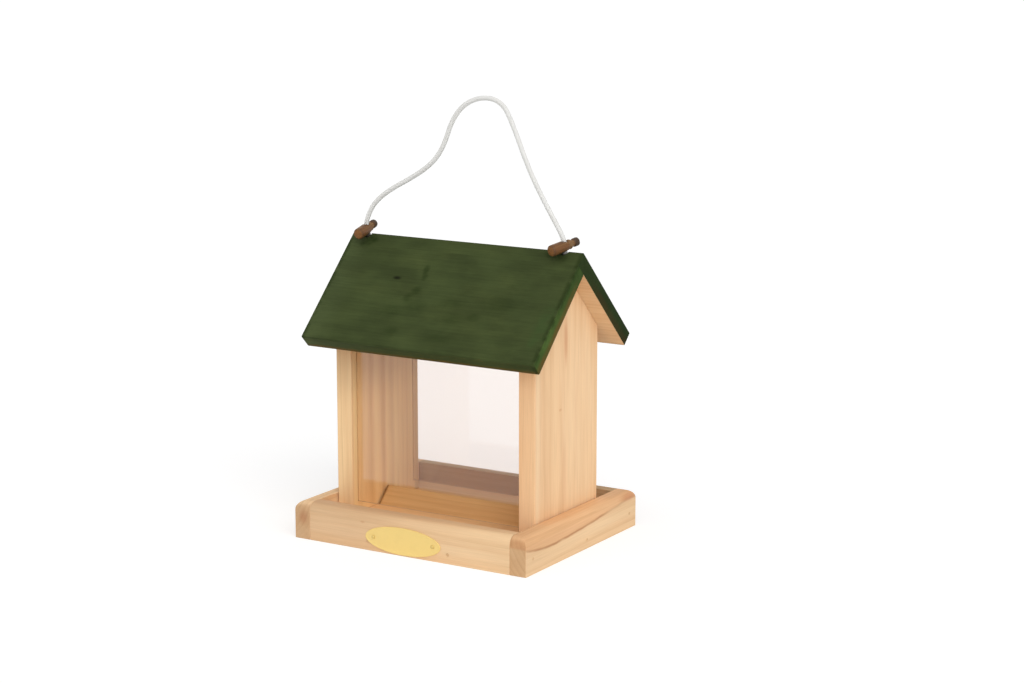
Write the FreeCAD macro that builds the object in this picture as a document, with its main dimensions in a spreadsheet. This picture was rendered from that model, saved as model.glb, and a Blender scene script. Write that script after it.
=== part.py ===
import FreeCAD, Part
import math
import os
import Sketcher

# A hanging bird feeder in millimetres: a tray, two gable walls with windows, and a roof on a cord.
# X runs along the ridge, Y from front to back and Z up. The origin is under the middle of the tray.

SIZES = (
    # Tray
    ("tray_width", 240.0),
    ("tray_depth", 193.0),
    ("rail_height", 34.0),
    ("rail_thick", 16.0),
    ("rail_round", 8.0),
    ("floor_thick", 16.5),
    # Gable walls
    ("gable_gap", 1.0),
    ("gable_thick", 16.0),
    ("gable_depth", 108.0),
    ("gable_height", 227.5),
    # Windows, set in grooves of the gable walls
    ("window_thick", 2.0),
    ("window_inset", 9.0),
    ("window_play", 0.4),
    ("window_top_gap", 3.0),
    ("groove_depth", 5.0),
    ("seed_slot", 10.0),
    # Wedge that sheds the seed to both sides
    ("wedge_base", 31.0),
    ("wedge_height", 15.5),
    ("wedge_end_gap", 1.5),
    # Roof
    ("roof_pitch", 45.0),
    ("roof_thick", 14.0),
    ("roof_overhang", 16.5),
    ("roof_slope", 118.5),
    ("roof_hole_dia", 7.2),
    ("left_hole_shift", 5.7),
    ("left_hole_forward", 0.6),
    ("right_hole_shift", 2.3),
    ("right_hole_forward", 0.0),
    # Cord, its holes in the gables and its knots
    ("cord_dia", 4.5),
    ("cord_inset", 11.5),
    ("cord_lean", 3.5),
    ("cord_hole_dia", 5.5),
    ("knot_dia", 9.0),
    ("knot_drop", 28.0),
    ("knot_pocket_dia", 13.0),
    ("knot_pocket_depth", 13.0),
    ("knot_seat_gap", 0.3),
    # Toggles
    ("toggle_dia", 10.0),
    ("toggle_body", 18.4),
    ("toggle_groove_dia", 7.8),
    ("toggle_groove", 1.7),
    ("toggle_bead_dia", 8.6),
    ("toggle_bead", 2.8),
    ("toggle_neck_dia", 6.2),
    ("toggle_neck", 3.2),
    ("toggle_flange_dia", 7.6),
    ("toggle_flange", 5.3),
    ("toggle_edge", 1.2),
    ("toggle_hole_dia", 7.0),
    ("toggle_hole_at", 17.0),
    ("left_toggle_shift", 0.55),
    ("left_toggle_forward", 1.7),
    ("left_toggle_rise", 3.8),
    ("left_toggle_turn", -6.0),
    ("left_toggle_tilt", 11.6),
    ("left_toggle_roll", -4.0),
    ("right_toggle_shift", -0.05),
    ("right_toggle_forward", 0.0),
    ("right_toggle_rise", 4.3),
    ("right_toggle_turn", 18.8),
    ("right_toggle_tilt", 10.9),
    ("right_toggle_roll", -6.0),
    # Oval plate
    ("plate_length", 78.0),
    ("plate_height", 24.5),
    ("plate_thick", 0.8),
    ("plate_x", -4.4),
    ("plate_z", 13.2),
    ("pin_spacing", 61.5),
    ("pin_dia", 1.4),
    ("pin_length", 12.0),
    ("pin_head_dia", 3.6),
    ("pin_head", 0.8),
    # Brads, nails and screws
    ("brad_dia", 1.6),
    ("brad_length", 30.0),
    ("brad_head_dia", 2.8),
    ("brad_head", 0.8),
    ("corner_brad_inset", 12.0),
    ("corner_brad_z", 14.0),
    ("floor_brad_x", 41.5),
    ("floor_brad_y", 7.0),
    ("wedge_brad_x", 50.0),
    ("wedge_brad_length", 25.0),
    ("nail_length", 36.0),
    ("nail_inset", 7.0),
    ("nail_near_x", 26.0),
    ("nail_far_x", 74.0),
    ("screw_dia", 3.5),
    ("screw_length", 40.0),
    ("screw_head_dia", 7.0),
    ("screw_head", 2.4),
    ("screw_y", 32.0),
)

# Hand-chosen route of the cord from the left gable to the right one: X, Y, and height above the gables' peaks
CORD_ROUTE = (
    (-98.5, 0.0, 0.0),
    (-99.4316, 0.0, 7.0),
    (-102.6, -0.4, 15.0),
    (-104.6, -1.3, 20.5),
    (-105.0, -2.5, 27.8),
    (-101.2, -3.0, 37.7),
    (-94.9, -2.2, 48.5),
    (-79.7, -1.0, 60.4),
    (-59.0, 0.0, 71.2),
    (-39.3, 0.0, 83.1),
    (-27.4, 0.0, 95.1),
    (-20.1, 0.0, 109.0),
    (-15.4, 0.0, 122.0),
    (-7.8, 0.0, 133.9),
    (2.0, 0.0, 141.9),
    (13.1, 0.0, 146.1),
    (23.1, 0.0, 147.1),
    (32.6, 0.0, 145.2),
    (40.7, 0.0, 139.2),
    (46.4, 0.0, 128.8),
    (52.8, 0.0, 114.8),
    (60.2, 0.0, 97.3),
    (69.5, 0.0, 78.4),
    (80.6, 0.0, 59.9),
    (91.3, 0.0, 43.0),
    (98.7, 0.0, 31.5),
    (101.2, 0.0, 20.5),
    (99.6977, 0.0, 9.0),
    (98.5, 0.0, 0.0),
)
# Share of the shorter run that an arc of the cord takes up
ARC_SHARE = 0.45
VOLUME_TOLERANCE = 0.01
# How near two places have to be to count as one
NEAR = 1e-4

# Places worked out from the driving sizes
HALF_WIDTH = "sizes.tray_width / 2"
HALF_DEPTH = "sizes.tray_depth / 2"
INNER_X = "(sizes.tray_width / 2 - sizes.rail_thick)"
INNER_Y = "(sizes.tray_depth / 2 - sizes.rail_thick)"
FLOOR_TOP = "sizes.floor_thick"
FLOOR_MIDDLE = "sizes.floor_thick / 2"
WALL_X = f"({INNER_X} - sizes.gable_gap - sizes.gable_thick)"
WALL_MIDDLE_X = f"({WALL_X} + sizes.gable_thick / 2)"
ROOF_LENGTH = f"2 * ({WALL_X} + sizes.gable_thick + sizes.roof_overhang)"
PEAK = f"({FLOOR_TOP} + sizes.gable_height)"
ROOF_RISE = "(sizes.roof_thick / cos(sizes.roof_pitch))"
RIDGE = f"({PEAK} + {ROOF_RISE})"
WINDOW_Y = "(sizes.gable_depth / 2 - sizes.window_inset)"
WINDOW_BOTTOM = f"({FLOOR_TOP} + sizes.seed_slot)"
WINDOW_OUTSIDE = f"({WINDOW_Y} + sizes.window_thick / 2)"
WINDOW_TOP = f"({PEAK} - {WINDOW_OUTSIDE} * tan(sizes.roof_pitch) - sizes.window_top_gap)"
CORD_X = f"({WALL_X} + sizes.cord_inset)"
KNOT_POCKET_Z = f"({PEAK} - sizes.knot_drop)"
KNOT_Z = f"({KNOT_POCKET_Z} + (sizes.knot_pocket_dia - sizes.knot_dia) / 2 - sizes.knot_seat_gap)"
KNOT_X = f"({CORD_X} - sizes.cord_lean)"
KNOT_FLAT = "(sqrt(sizes.knot_dia ^ 2 - sizes.cord_dia ^ 2) / 2)"
TAIL_RISE = f"({PEAK} - {KNOT_Z})"
TAIL_REACH = f"sqrt(sizes.cord_lean ^ 2 + {TAIL_RISE} ^ 2)"

doc = FreeCAD.newDocument("bird_feeder")
sheet = doc.addObject("Spreadsheet::Sheet", "sizes")
for row, (name, value) in enumerate(SIZES, start=1):
    sheet.set(f"A{row}", str(value))
    sheet.setAlias(f"A{row}", name)
doc.recompute()

nodes = []


def node(item, label):
    """Keeps an object as one of the feeder's pieces."""
    item.Label = label
    nodes.append(item)
    return item


def place(item, x="0", y="0", z="0"):
    """Binds an object's place to the sizes."""
    item.setExpression("Placement.Base.x", x)
    item.setExpression("Placement.Base.y", y)
    item.setExpression("Placement.Base.z", z)


def origin_feature(body, role):
    """One of a body's own origin planes or axes."""
    return next(feature for feature in body.Origin.OriginFeatures if feature.Role == role)


def attached_sketch(body, name, role):
    """An empty sketch on one of the body's origin planes."""
    sketch = body.newObject("Sketcher::SketchObject", name)
    sketch.AttachmentSupport = [(origin_feature(body, role), "")]
    sketch.MapMode = "FlatFace"
    return sketch


def bind_point(sketch, name, geometry, position, across, up):
    """Ties a point of a sketch to the sizes, measured from the sketch's origin."""
    for kind, suffix, expression in (("DistanceX", "across", across), ("DistanceY", "up", up)):
        constraint = sketch.addConstraint(Sketcher.Constraint(kind, -1, 1, geometry, position, 1.0))
        sketch.renameConstraint(constraint, f"{name}_{suffix}")
        sketch.setExpression(f"Constraints.{name}_{suffix}", expression)


def outline_sketch(body, name, role, *loops):
    """A sketch of closed outlines, each a list of corners given as expressions."""
    sketch = attached_sketch(body, name, role)
    for loop_number, corners in enumerate(loops):
        first = sketch.GeometryCount
        count = len(corners)
        turns = [2 * math.pi * number / count for number in range(count + 1)]
        starts = [FreeCAD.Vector(math.cos(turn), math.sin(turn), 0) for turn in turns]
        for number in range(count):
            sketch.addGeometry(Part.LineSegment(starts[number], starts[number + 1]), False)
        for number in range(count):
            following = first + (number + 1) % count
            sketch.addConstraint(Sketcher.Constraint("Coincident", first + number, 2, following, 1))
        for number, (across, up) in enumerate(corners):
            bind_point(sketch, f"loop{loop_number}_corner{number}", first + number, 1, across, up)
    return sketch


def pad(body, sketch, length, side_type="One side", flipped=False):
    """Raises a sketch into a solid."""
    feature = body.newObject("PartDesign::Pad", "pad")
    feature.Profile = sketch
    feature.SideType = side_type
    feature.Reversed = flipped
    feature.setExpression("Length", length)
    doc.recompute()
    return feature


def pocket(body, sketch, depth, flipped=False):
    """Cuts a sketch out of the body to a depth, and makes sure that it cut something."""
    volume_before = body.Shape.Volume
    feature = body.newObject("PartDesign::Pocket", "pocket")
    feature.Profile = sketch
    feature.Reversed = flipped
    feature.setExpression("Length", depth)
    doc.recompute()
    if body.Shape.Volume >= volume_before:
        raise RuntimeError(f"{body.Label}: {sketch.Label} cuts nothing")


def drill(body, name, diameter, depth, direction, x="0", y="0", z="0"):
    """Takes a round hole out of the body, from a point in a direction."""
    feature = body.newObject("PartDesign::SubtractiveCylinder", name)
    feature.Placement.Rotation = FreeCAD.Rotation(FreeCAD.Vector(0, 0, 1), direction)
    feature.setExpression("Radius", f"{diameter} / 2")
    feature.setExpression("Height", depth)
    place(feature, x, y, z)
    doc.recompute()


def round_edges(body, radius, wanted):
    """Rounds the edges of the body's last feature that the test picks."""
    base = body.Tip
    names = [f"Edge{number}" for number, edge in enumerate(base.Shape.Edges, start=1) if wanted(edge)]
    feature = body.newObject("PartDesign::Fillet", "rounded")
    feature.Base = (base, names)
    feature.setExpression("Radius", radius)
    doc.recompute()


def block(name, length, width, height, x, y, z):
    """A plain board, placed by its lowest corner."""
    board = doc.addObject("Part::Box", name)
    board.setExpression("Length", length)
    board.setExpression("Width", width)
    board.setExpression("Height", height)
    place(board, x, y, z)
    return board


def fixing(name, at, into, length, width, head_width, head_height, countersunk=False):
    """A nail or screw, driven in from a point, with the top of its head there."""
    shank = doc.addObject("Part::Cylinder", f"{name}_shank")
    shank.setExpression("Radius", f"{width} / 2")
    shank.setExpression("Height", length)
    if countersunk:
        head = doc.addObject("Part::Cone", f"{name}_head")
        head.setExpression("Radius1", f"{head_width} / 2")
        head.setExpression("Radius2", f"{width} / 2")
    else:
        head = doc.addObject("Part::Cylinder", f"{name}_head")
        head.setExpression("Radius", f"{head_width} / 2")
    head.setExpression("Height", head_height)
    for piece in (shank, head):
        piece.Placement.Rotation = FreeCAD.Rotation(FreeCAD.Vector(0, 0, 1), FreeCAD.Vector(*into))
        place(piece, *at)
    whole = doc.addObject("Part::MultiFuse", name)
    whole.Shapes = [shank, head]
    return whole


def brad(name, at, into, length="sizes.brad_length"):
    """A thin nail with a small flat head."""
    return fixing(name, at, into, length, "sizes.brad_dia", "sizes.brad_head_dia", "sizes.brad_head")


def group(label, pieces):
    """Separate solids kept as one piece of the feeder."""
    compound = doc.addObject("Part::Compound", label)
    compound.Links = pieces
    return node(compound, label)


def drilled(label, board, *fixings):
    """A board with a hole for every fixing that is driven into it."""
    tool = fixings[0]
    if len(fixings) > 1:
        tool = doc.addObject("Part::Compound", f"{label}_fixings")
        tool.Links = list(fixings)
    board.Label = f"{label}_blank"
    cut = doc.addObject("Part::Cut", label)
    cut.Base = board
    cut.Tool = tool
    return node(cut, label)


def make_corner_brads():
    """One brad through each end of the side rails."""
    brads = []
    for side in (-1, 1):
        for end in (-1, 1):
            at = (
                f"{side} * {HALF_WIDTH}",
                f"{end} * ({HALF_DEPTH} - sizes.corner_brad_inset)",
                "sizes.corner_brad_z",
            )
            brads.append(brad(f"corner_brad_{len(brads)}", at, (-side, 0, 0)))
    return group("corner_brads", brads)


def make_floor_brads():
    """Brads through the rails into the floor's edges: two at the front and back, one at each side."""
    brads = []
    for side in (-1, 1):
        for hand in (-1, 1):
            at = (f"{hand} * sizes.floor_brad_x", f"{side} * {HALF_DEPTH}", FLOOR_MIDDLE)
            brads.append(brad(f"floor_brad_{len(brads)}", at, (0, -side, 0)))
        at = (f"{side} * {HALF_WIDTH}", "sizes.floor_brad_y", FLOOR_MIDDLE)
        brads.append(brad(f"floor_brad_{len(brads)}", at, (-side, 0, 0)))
    return group("floor_brads", brads)


def make_gable_screws():
    """Two countersunk screws up through the floor into each gable."""
    screws = []
    for side in (-1, 1):
        for end in (-1, 1):
            at = (f"{side} * {WALL_MIDDLE_X}", f"{end} * sizes.screw_y", "0")
            screws.append(fixing(
                f"gable_screw_{len(screws)}", at, (0, 0, 1), "sizes.screw_length", "sizes.screw_dia",
                "sizes.screw_head_dia", "sizes.screw_head", countersunk=True))
    return group("gable_screws", screws)


def make_wedge_brads():
    """Two brads up through the floor into the wedge."""
    brads = []
    for side in (-1, 1):
        at = (f"{side} * sizes.wedge_brad_x", "0", "0")
        brads.append(brad(f"wedge_brad_{len(brads)}", at, (0, 0, 1), "sizes.wedge_brad_length"))
    return group("wedge_brads", brads)


def make_ridge_nails():
    """Nails through the back roof board into the edge of the front one."""
    pitch = math.radians(sheet.roof_pitch)
    into = (0, -math.sin(pitch), -math.cos(pitch))
    nails = []
    for side in (-1, 1):
        for place_x in ("sizes.nail_near_x", "sizes.nail_far_x"):
            at = (
                f"{side} * {place_x}",
                "sizes.nail_inset * cos(sizes.roof_pitch)",
                f"{RIDGE} - sizes.nail_inset * sin(sizes.roof_pitch)",
            )
            nails.append(brad(f"ridge_nail_{len(nails)}", at, into, "sizes.nail_length"))
    return group("ridge_nails", nails)


def make_plate_pins():
    """Two round-headed pins that hold the oval plate."""
    pins = []
    for side in (-1, 1):
        at = (
            f"sizes.plate_x + {side} * sizes.pin_spacing / 2",
            f"-({HALF_DEPTH} + sizes.plate_thick + sizes.pin_head)",
            "sizes.plate_z",
        )
        pins.append(fixing(
            f"plate_pin_{len(pins)}", at, (0, 1, 0), "sizes.pin_length", "sizes.pin_dia",
            "sizes.pin_head_dia", "sizes.pin_head"))
    return group("plate_pins", pins)


def on_top_outside(edge, low_x, high_x, low_y, high_y, top):
    """True for a top edge that lies on one of the given outer sides (None leaves a side out)."""
    box = edge.BoundBox
    if box.ZMin < top - NEAR:
        return False
    sides = ((box.XMin, box.XMax, low_x), (box.XMin, box.XMax, high_x),
             (box.YMin, box.YMax, low_y), (box.YMin, box.YMax, high_y))
    return any(
        side is not None and abs(low - side) < NEAR and abs(high - side) < NEAR for low, high, side in sides)


def rail_blank(name, low_x, high_x, low_y, high_y, rounded_sides):
    """A tray rail standing on the ground, rounded along the top of its outer sides."""
    body = doc.addObject("PartDesign::Body", name)
    corners = [(low_x, low_y), (high_x, low_y), (high_x, high_y), (low_x, high_y)]
    pad(body, outline_sketch(body, f"{name}_plan", "XY_Plane", corners), "sizes.rail_height")
    box = body.Shape.BoundBox
    bounds = {"low_x": box.XMin, "high_x": box.XMax, "low_y": box.YMin, "high_y": box.YMax}
    outer = {side: bounds[side] if side in rounded_sides else None for side in bounds}
    round_edges(body, "sizes.rail_round", lambda edge: on_top_outside(edge, top=box.ZMax, **outer))
    return body


def make_tray(corner_brads, floor_brads, gable_screws, wedge_brads, plate_pins):
    """The floor and the four rails around it."""
    floor = block(
        "floor", f"2 * {INNER_X}", f"2 * {INNER_Y}", "sizes.floor_thick",
        f"-{INNER_X}", f"-{INNER_Y}", "0")
    drilled("tray_floor", floor, floor_brads, gable_screws, wedge_brads)
    front = rail_blank("front", f"-{INNER_X}", INNER_X, f"-{HALF_DEPTH}", f"-{INNER_Y}", ("low_y",))
    drilled("front_rail", front, corner_brads, floor_brads, plate_pins)
    back = rail_blank("back", f"-{INNER_X}", INNER_X, INNER_Y, HALF_DEPTH, ("high_y",))
    drilled("back_rail", back, corner_brads, floor_brads)
    left = rail_blank(
        "left", f"-{HALF_WIDTH}", f"-{INNER_X}", f"-{HALF_DEPTH}", HALF_DEPTH, ("low_x", "low_y", "high_y"))
    drilled("left_rail", left, corner_brads, floor_brads)
    right = rail_blank(
        "right", INNER_X, HALF_WIDTH, f"-{HALF_DEPTH}", HALF_DEPTH, ("high_x", "low_y", "high_y"))
    drilled("right_rail", right, corner_brads, floor_brads)


def tail_way(side):
    """The direction of the cord from its knot up to the gable's peak."""
    seat = (sheet.knot_pocket_dia - sheet.knot_dia) / 2 - sheet.knot_seat_gap
    return FreeCAD.Vector(side * sheet.cord_lean, 0, sheet.knot_drop - seat)


def make_gable(label, side, gable_screws):
    """A gable wall with two window grooves, and a cord hole that ends in a pocket for the knot."""
    body = doc.addObject("PartDesign::Body", f"{label}_wall")
    half = "sizes.gable_depth / 2"
    shoulder = f"{PEAK} - {half} * tan(sizes.roof_pitch)"
    wall = [(f"-{half}", FLOOR_TOP), (half, FLOOR_TOP), (half, shoulder), ("0", PEAK), (f"-{half}", shoulder)]
    wall_sketch = outline_sketch(body, f"{label}_outline", "YZ_Plane", wall)
    pad(body, wall_sketch, "sizes.gable_thick", flipped=side < 0)
    place(body, f"{side} * {WALL_X}")
    groove_half = "(sizes.window_thick + sizes.window_play) / 2"
    grooves = []
    for end in (-1, 1):
        low = f"{end} * {WINDOW_Y} - {groove_half}"
        high = f"{end} * {WINDOW_Y} + {groove_half}"
        grooves.append([(low, WINDOW_BOTTOM), (high, WINDOW_BOTTOM), (high, PEAK), (low, PEAK)])
    groove_sketch = outline_sketch(body, f"{label}_grooves", "YZ_Plane", *grooves)
    pocket(body, groove_sketch, "sizes.groove_depth", flipped=side > 0)
    drill(
        body, f"{label}_knot_pocket", "sizes.knot_pocket_dia", "sizes.knot_pocket_depth",
        FreeCAD.Vector(side, 0, 0), z=KNOT_POCKET_Z)
    drill(
        body, f"{label}_cord_hole", "sizes.cord_hole_dia", "sizes.knot_drop",
        tail_way(side), x=f"{side} * (sizes.cord_inset - sizes.cord_lean)", z=KNOT_Z)
    drilled(label, body, gable_screws)


def make_window(label, end):
    """A clear sheet that stands on the lower ends of its grooves."""
    half_width = f"({WALL_X} + sizes.groove_depth - sizes.window_play)"
    sheet_box = block(
        label, f"2 * {half_width}", "sizes.window_thick", f"{WINDOW_TOP} - {WINDOW_BOTTOM}",
        f"-{half_width}", f"{end} * {WINDOW_Y} - sizes.window_thick / 2", WINDOW_BOTTOM)
    node(sheet_box, label)


def make_wedge(wedge_brads):
    """The three-sided strip along the middle of the floor."""
    body = doc.addObject("PartDesign::Body", "wedge")
    half = "sizes.wedge_base / 2"
    corners = [(f"-{half}", FLOOR_TOP), (half, FLOOR_TOP), ("0", f"{FLOOR_TOP} + sizes.wedge_height")]
    section = outline_sketch(body, "wedge_section", "YZ_Plane", corners)
    pad(body, section, f"2 * ({WALL_X} - sizes.wedge_end_gap)", "Symmetric")
    drilled("seed_wedge", body, wedge_brads)


def make_roof_board(label, corners, ridge_nails):
    """A roof board from its end outline, with the two leaning holes that the cord runs through."""
    body = doc.addObject("PartDesign::Body", f"{label}_board")
    pad(body, outline_sketch(body, f"{label}_end", "YZ_Plane", corners), ROOF_LENGTH, "Symmetric")
    rise = sheet.roof_thick / math.cos(math.radians(sheet.roof_pitch))
    for hand, side in (("left", -1), ("right", 1)):
        forward = sheet.get(f"{hand}_hole_forward")
        way = FreeCAD.Vector(side * sheet.get(f"{hand}_hole_shift"), -forward, rise)
        drill(
            body, f"{label}_{hand}_hole", "sizes.roof_hole_dia", f"3 * {ROOF_RISE}", way,
            f"{side} * ({CORD_X} - sizes.{hand}_hole_shift)", f"sizes.{hand}_hole_forward", f"{PEAK} - {ROOF_RISE}")
    drilled(label, body, ridge_nails)


def make_roof(ridge_nails):
    """Two boards: the back one runs up to the ridge, and the front one butts against its underside."""
    eave_y = "sizes.roof_slope * cos(sizes.roof_pitch)"
    eave_z = f"{RIDGE} - sizes.roof_slope * sin(sizes.roof_pitch)"
    inset_y = "sizes.roof_thick * sin(sizes.roof_pitch)"
    inset_z = "sizes.roof_thick * cos(sizes.roof_pitch)"
    lap = "(sizes.roof_thick / sin(2 * sizes.roof_pitch))"
    seam = (f"-{lap} * cos(sizes.roof_pitch)", f"{RIDGE} - {lap} * sin(sizes.roof_pitch)")
    under_eave_z = f"{eave_z} - {inset_z}"
    back = [("0", RIDGE), seam, (f"{eave_y} - {inset_y}", under_eave_z), (eave_y, eave_z)]
    make_roof_board("back_roof_board", back, ridge_nails)
    front = [seam, (f"-{eave_y}", eave_z), (f"-({eave_y} - {inset_y})", under_eave_z), ("0", PEAK)]
    make_roof_board("front_roof_board", front, ridge_nails)


def make_toggle(hand, side):
    """A turned peg with a hole across it for the cord, lying across the ridge over the roof hole."""
    label = f"{hand}_toggle"
    body = doc.addObject("PartDesign::Body", label)
    stretches = ("toggle", "toggle_groove", "toggle_bead", "toggle_neck", "toggle_flange")
    lengths = ("toggle_body",) + stretches[1:]
    along = "-sizes.toggle_hole_at"
    profile = [("0", along)]
    for stretch, length in zip(stretches, lengths):
        radius = f"sizes.{stretch}_dia / 2"
        profile.append((radius, along))
        along = f"{along} + sizes.{length}"
        profile.append((radius, along))
    profile.append(("0", along))
    turned = body.newObject("PartDesign::Revolution", f"{label}_turned")
    turned.Profile = outline_sketch(body, f"{label}_profile", "XY_Plane", profile)
    turned.ReferenceAxis = (origin_feature(body, "Y_Axis"), [""])
    doc.recompute()
    ends = (body.Shape.BoundBox.YMin, body.Shape.BoundBox.YMax)
    round_edges(body, "sizes.toggle_edge", lambda edge: edge.Closed and min(
        abs(edge.BoundBox.Center.y - end) for end in ends) < NEAR)
    drill(
        body, f"{label}_hole", "sizes.toggle_hole_dia", "2 * sizes.toggle_dia",
        FreeCAD.Vector(0, 0, 1), z="-sizes.toggle_dia")
    turn = FreeCAD.Rotation(FreeCAD.Vector(0, 0, -1), sheet.get(f"{label}_turn"))
    tilt = FreeCAD.Rotation(FreeCAD.Vector(1, 0, 0), sheet.get(f"{label}_tilt"))
    roll = FreeCAD.Rotation(FreeCAD.Vector(0, 1, 0), sheet.get(f"{label}_roll"))
    body.Placement.Rotation = turn.multiply(tilt).multiply(roll)
    place(
        body, f"{side} * ({CORD_X} + sizes.{hand}_hole_shift + sizes.{label}_shift)", f"-sizes.{label}_forward",
        f"{RIDGE} + sizes.{label}_rise")
    node(body, label)


def rounded_path(points):
    """Straight runs joined by tangent arcs, as one wire, with the arcs' radii."""
    edges = []
    radii = []
    start = points[0]
    for before, corner, after in zip(points, points[1:], points[2:]):
        incoming = corner.sub(before)
        outgoing = after.sub(corner)
        reach = ARC_SHARE * min(incoming.Length, outgoing.Length)
        turn = incoming.getAngle(outgoing)
        radii.append(reach / math.tan(turn / 2))
        incoming.normalize()
        outgoing.normalize()
        arc_start = corner.sub(incoming * reach)
        arc_end = corner.add(outgoing * reach)
        inward = outgoing.sub(incoming)
        inward.normalize()
        sagitta = radii[-1] / math.cos(turn / 2) - radii[-1]
        edges.append(Part.LineSegment(start, arc_start).toShape())
        edges.append(Part.Arc(arc_start, corner.add(inward * sagitta), arc_end).toShape())
        start = arc_end
    edges.append(Part.LineSegment(start, points[-1]).toShape())
    return Part.Wire(edges), radii


def make_cord():
    """The loose arch of cord between the two gables' peaks."""
    points = [FreeCAD.Vector(*point) for point in CORD_ROUTE]
    path, radii = rounded_path(points)
    radius = sheet.cord_dia / 2
    section = Part.Wire(Part.Circle(points[0], points[1].sub(points[0]), radius).toShape())
    tube = path.makePipeShell([section], True, False)
    expected = math.pi * radius ** 2 * path.Length
    if abs(tube.Volume - expected) > VOLUME_TOLERANCE * expected:
        raise RuntimeError("the cord's volume doesn't match its section and length")
    print("cord length", round(path.Length, 1), "smallest radius", round(min(radii), 1))
    print("cord radii", [round(value, 1) for value in radii])
    cord = doc.addObject("Part::Feature", "hanging_cord")
    cord.Shape = tube
    place(cord, z=PEAK)
    node(cord, "hanging_cord")


def make_cord_end(hand, side):
    """The cord's way down into a gable, and the knot that holds it there."""
    tail = doc.addObject("Part::Cylinder", f"{hand}_cord_tail")
    tail.setExpression("Radius", "sizes.cord_dia / 2")
    tail.setExpression("Height", f"{TAIL_REACH} - {KNOT_FLAT}")
    knot = doc.addObject("Part::Sphere", f"{hand}_cord_knot")
    knot.setExpression("Radius", "sizes.knot_dia / 2")
    knot.setExpression("Angle2", "acos(sizes.cord_dia / sizes.knot_dia)")
    for piece in (tail, knot):
        piece.Placement.Rotation = FreeCAD.Rotation(FreeCAD.Vector(0, 0, 1), tail_way(side))
    start = f"{KNOT_FLAT} / {TAIL_REACH}"
    place(tail, f"{side} * ({KNOT_X} + sizes.cord_lean * {start})", "0", f"{KNOT_Z} + {TAIL_RISE} * {start}")
    place(knot, f"{side} * {KNOT_X}", "0", KNOT_Z)
    node(tail, f"{hand}_cord_tail")
    node(knot, f"{hand}_cord_knot")


def make_plate(plate_pins):
    """The thin oval plate on the front rail."""
    oval = doc.addObject("Part::Ellipse", "plate_outline")
    oval.setExpression("MajorRadius", "sizes.plate_length / 2")
    oval.setExpression("MinorRadius", "sizes.plate_height / 2")
    oval.Placement.Rotation = FreeCAD.Rotation(FreeCAD.Vector(1, 0, 0), 90)
    place(oval, "sizes.plate_x", f"-{HALF_DEPTH}", "sizes.plate_z")
    plate = doc.addObject("Part::Extrusion", "plate")
    plate.Base = oval
    plate.DirMode = "Custom"
    plate.Dir = FreeCAD.Vector(0, -1, 0)
    plate.Solid = True
    plate.setExpression("LengthFwd", "sizes.plate_thick")
    drilled("oval_plate", plate, plate_pins)


def check_and_write():
    """Stops if anything failed, and otherwise writes every piece to its own file."""
    doc.recompute()
    for item in doc.Objects:
        if any(state in ("Invalid", "Error") for state in item.State):
            raise RuntimeError(f"{item.Label} failed: {item.State}")
    for piece in nodes:
        if piece.Shape.isNull() or not piece.Shape.isValid() or not piece.Shape.Solids:
            raise RuntimeError(f"{piece.Label} has no valid solid")
    os.makedirs("parts", exist_ok=True)
    for piece in nodes:
        piece.Shape.exportStep(f"parts/{piece.Label}.step")
        print(piece.Label, len(piece.Shape.Solids), "solids", round(piece.Shape.Volume), "mm3")


corner_brads = make_corner_brads()
floor_brads = make_floor_brads()
gable_screws = make_gable_screws()
wedge_brads = make_wedge_brads()
ridge_nails = make_ridge_nails()
plate_pins = make_plate_pins()
make_tray(corner_brads, floor_brads, gable_screws, wedge_brads, plate_pins)
make_gable("left_gable", -1, gable_screws)
make_gable("right_gable", 1, gable_screws)
make_window("front_window", -1)
make_window("back_window", 1)
make_wedge(wedge_brads)
make_roof(ridge_nails)
make_toggle("left", -1)
make_toggle("right", 1)
make_cord()
make_cord_end("left", -1)
make_cord_end("right", 1)
make_plate(plate_pins)
check_and_write()
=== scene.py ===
import math

import bmesh
import bpy
from mathutils import Matrix, Vector


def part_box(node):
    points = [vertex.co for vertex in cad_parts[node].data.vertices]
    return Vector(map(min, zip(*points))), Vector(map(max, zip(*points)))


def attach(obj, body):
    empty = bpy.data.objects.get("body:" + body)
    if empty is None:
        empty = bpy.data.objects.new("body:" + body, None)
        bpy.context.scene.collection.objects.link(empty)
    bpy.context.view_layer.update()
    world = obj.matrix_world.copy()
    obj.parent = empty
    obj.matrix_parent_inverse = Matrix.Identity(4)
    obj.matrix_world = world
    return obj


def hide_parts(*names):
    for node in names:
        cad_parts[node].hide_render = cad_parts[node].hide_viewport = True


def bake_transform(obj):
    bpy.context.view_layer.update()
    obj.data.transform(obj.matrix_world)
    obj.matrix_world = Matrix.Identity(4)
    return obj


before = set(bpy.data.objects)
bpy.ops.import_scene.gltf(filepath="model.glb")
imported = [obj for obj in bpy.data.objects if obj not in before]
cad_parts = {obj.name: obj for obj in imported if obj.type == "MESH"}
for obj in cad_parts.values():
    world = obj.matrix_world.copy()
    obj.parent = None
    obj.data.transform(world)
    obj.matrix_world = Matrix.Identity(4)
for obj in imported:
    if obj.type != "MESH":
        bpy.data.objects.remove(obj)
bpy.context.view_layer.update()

bl_info = {
    "name": "Hanging bird feeder",
    "version": (1, 0, 0),
    "blender": (4, 5, 0),
    "location": "3D View > Sidebar > Feeder",
    "description": "Dresses the frame of a hanging bird feeder in wood, clear sheet, cord and metal",
    "category": "Object",
}

MM = 0.001
# Points nearer than this are merged, and places nearer than this count as the same
MERGE = 0.001 * MM
NEAR = 0.01 * MM
# Edges that turn by more than this are sharp
SHARP = math.radians(30)
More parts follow.
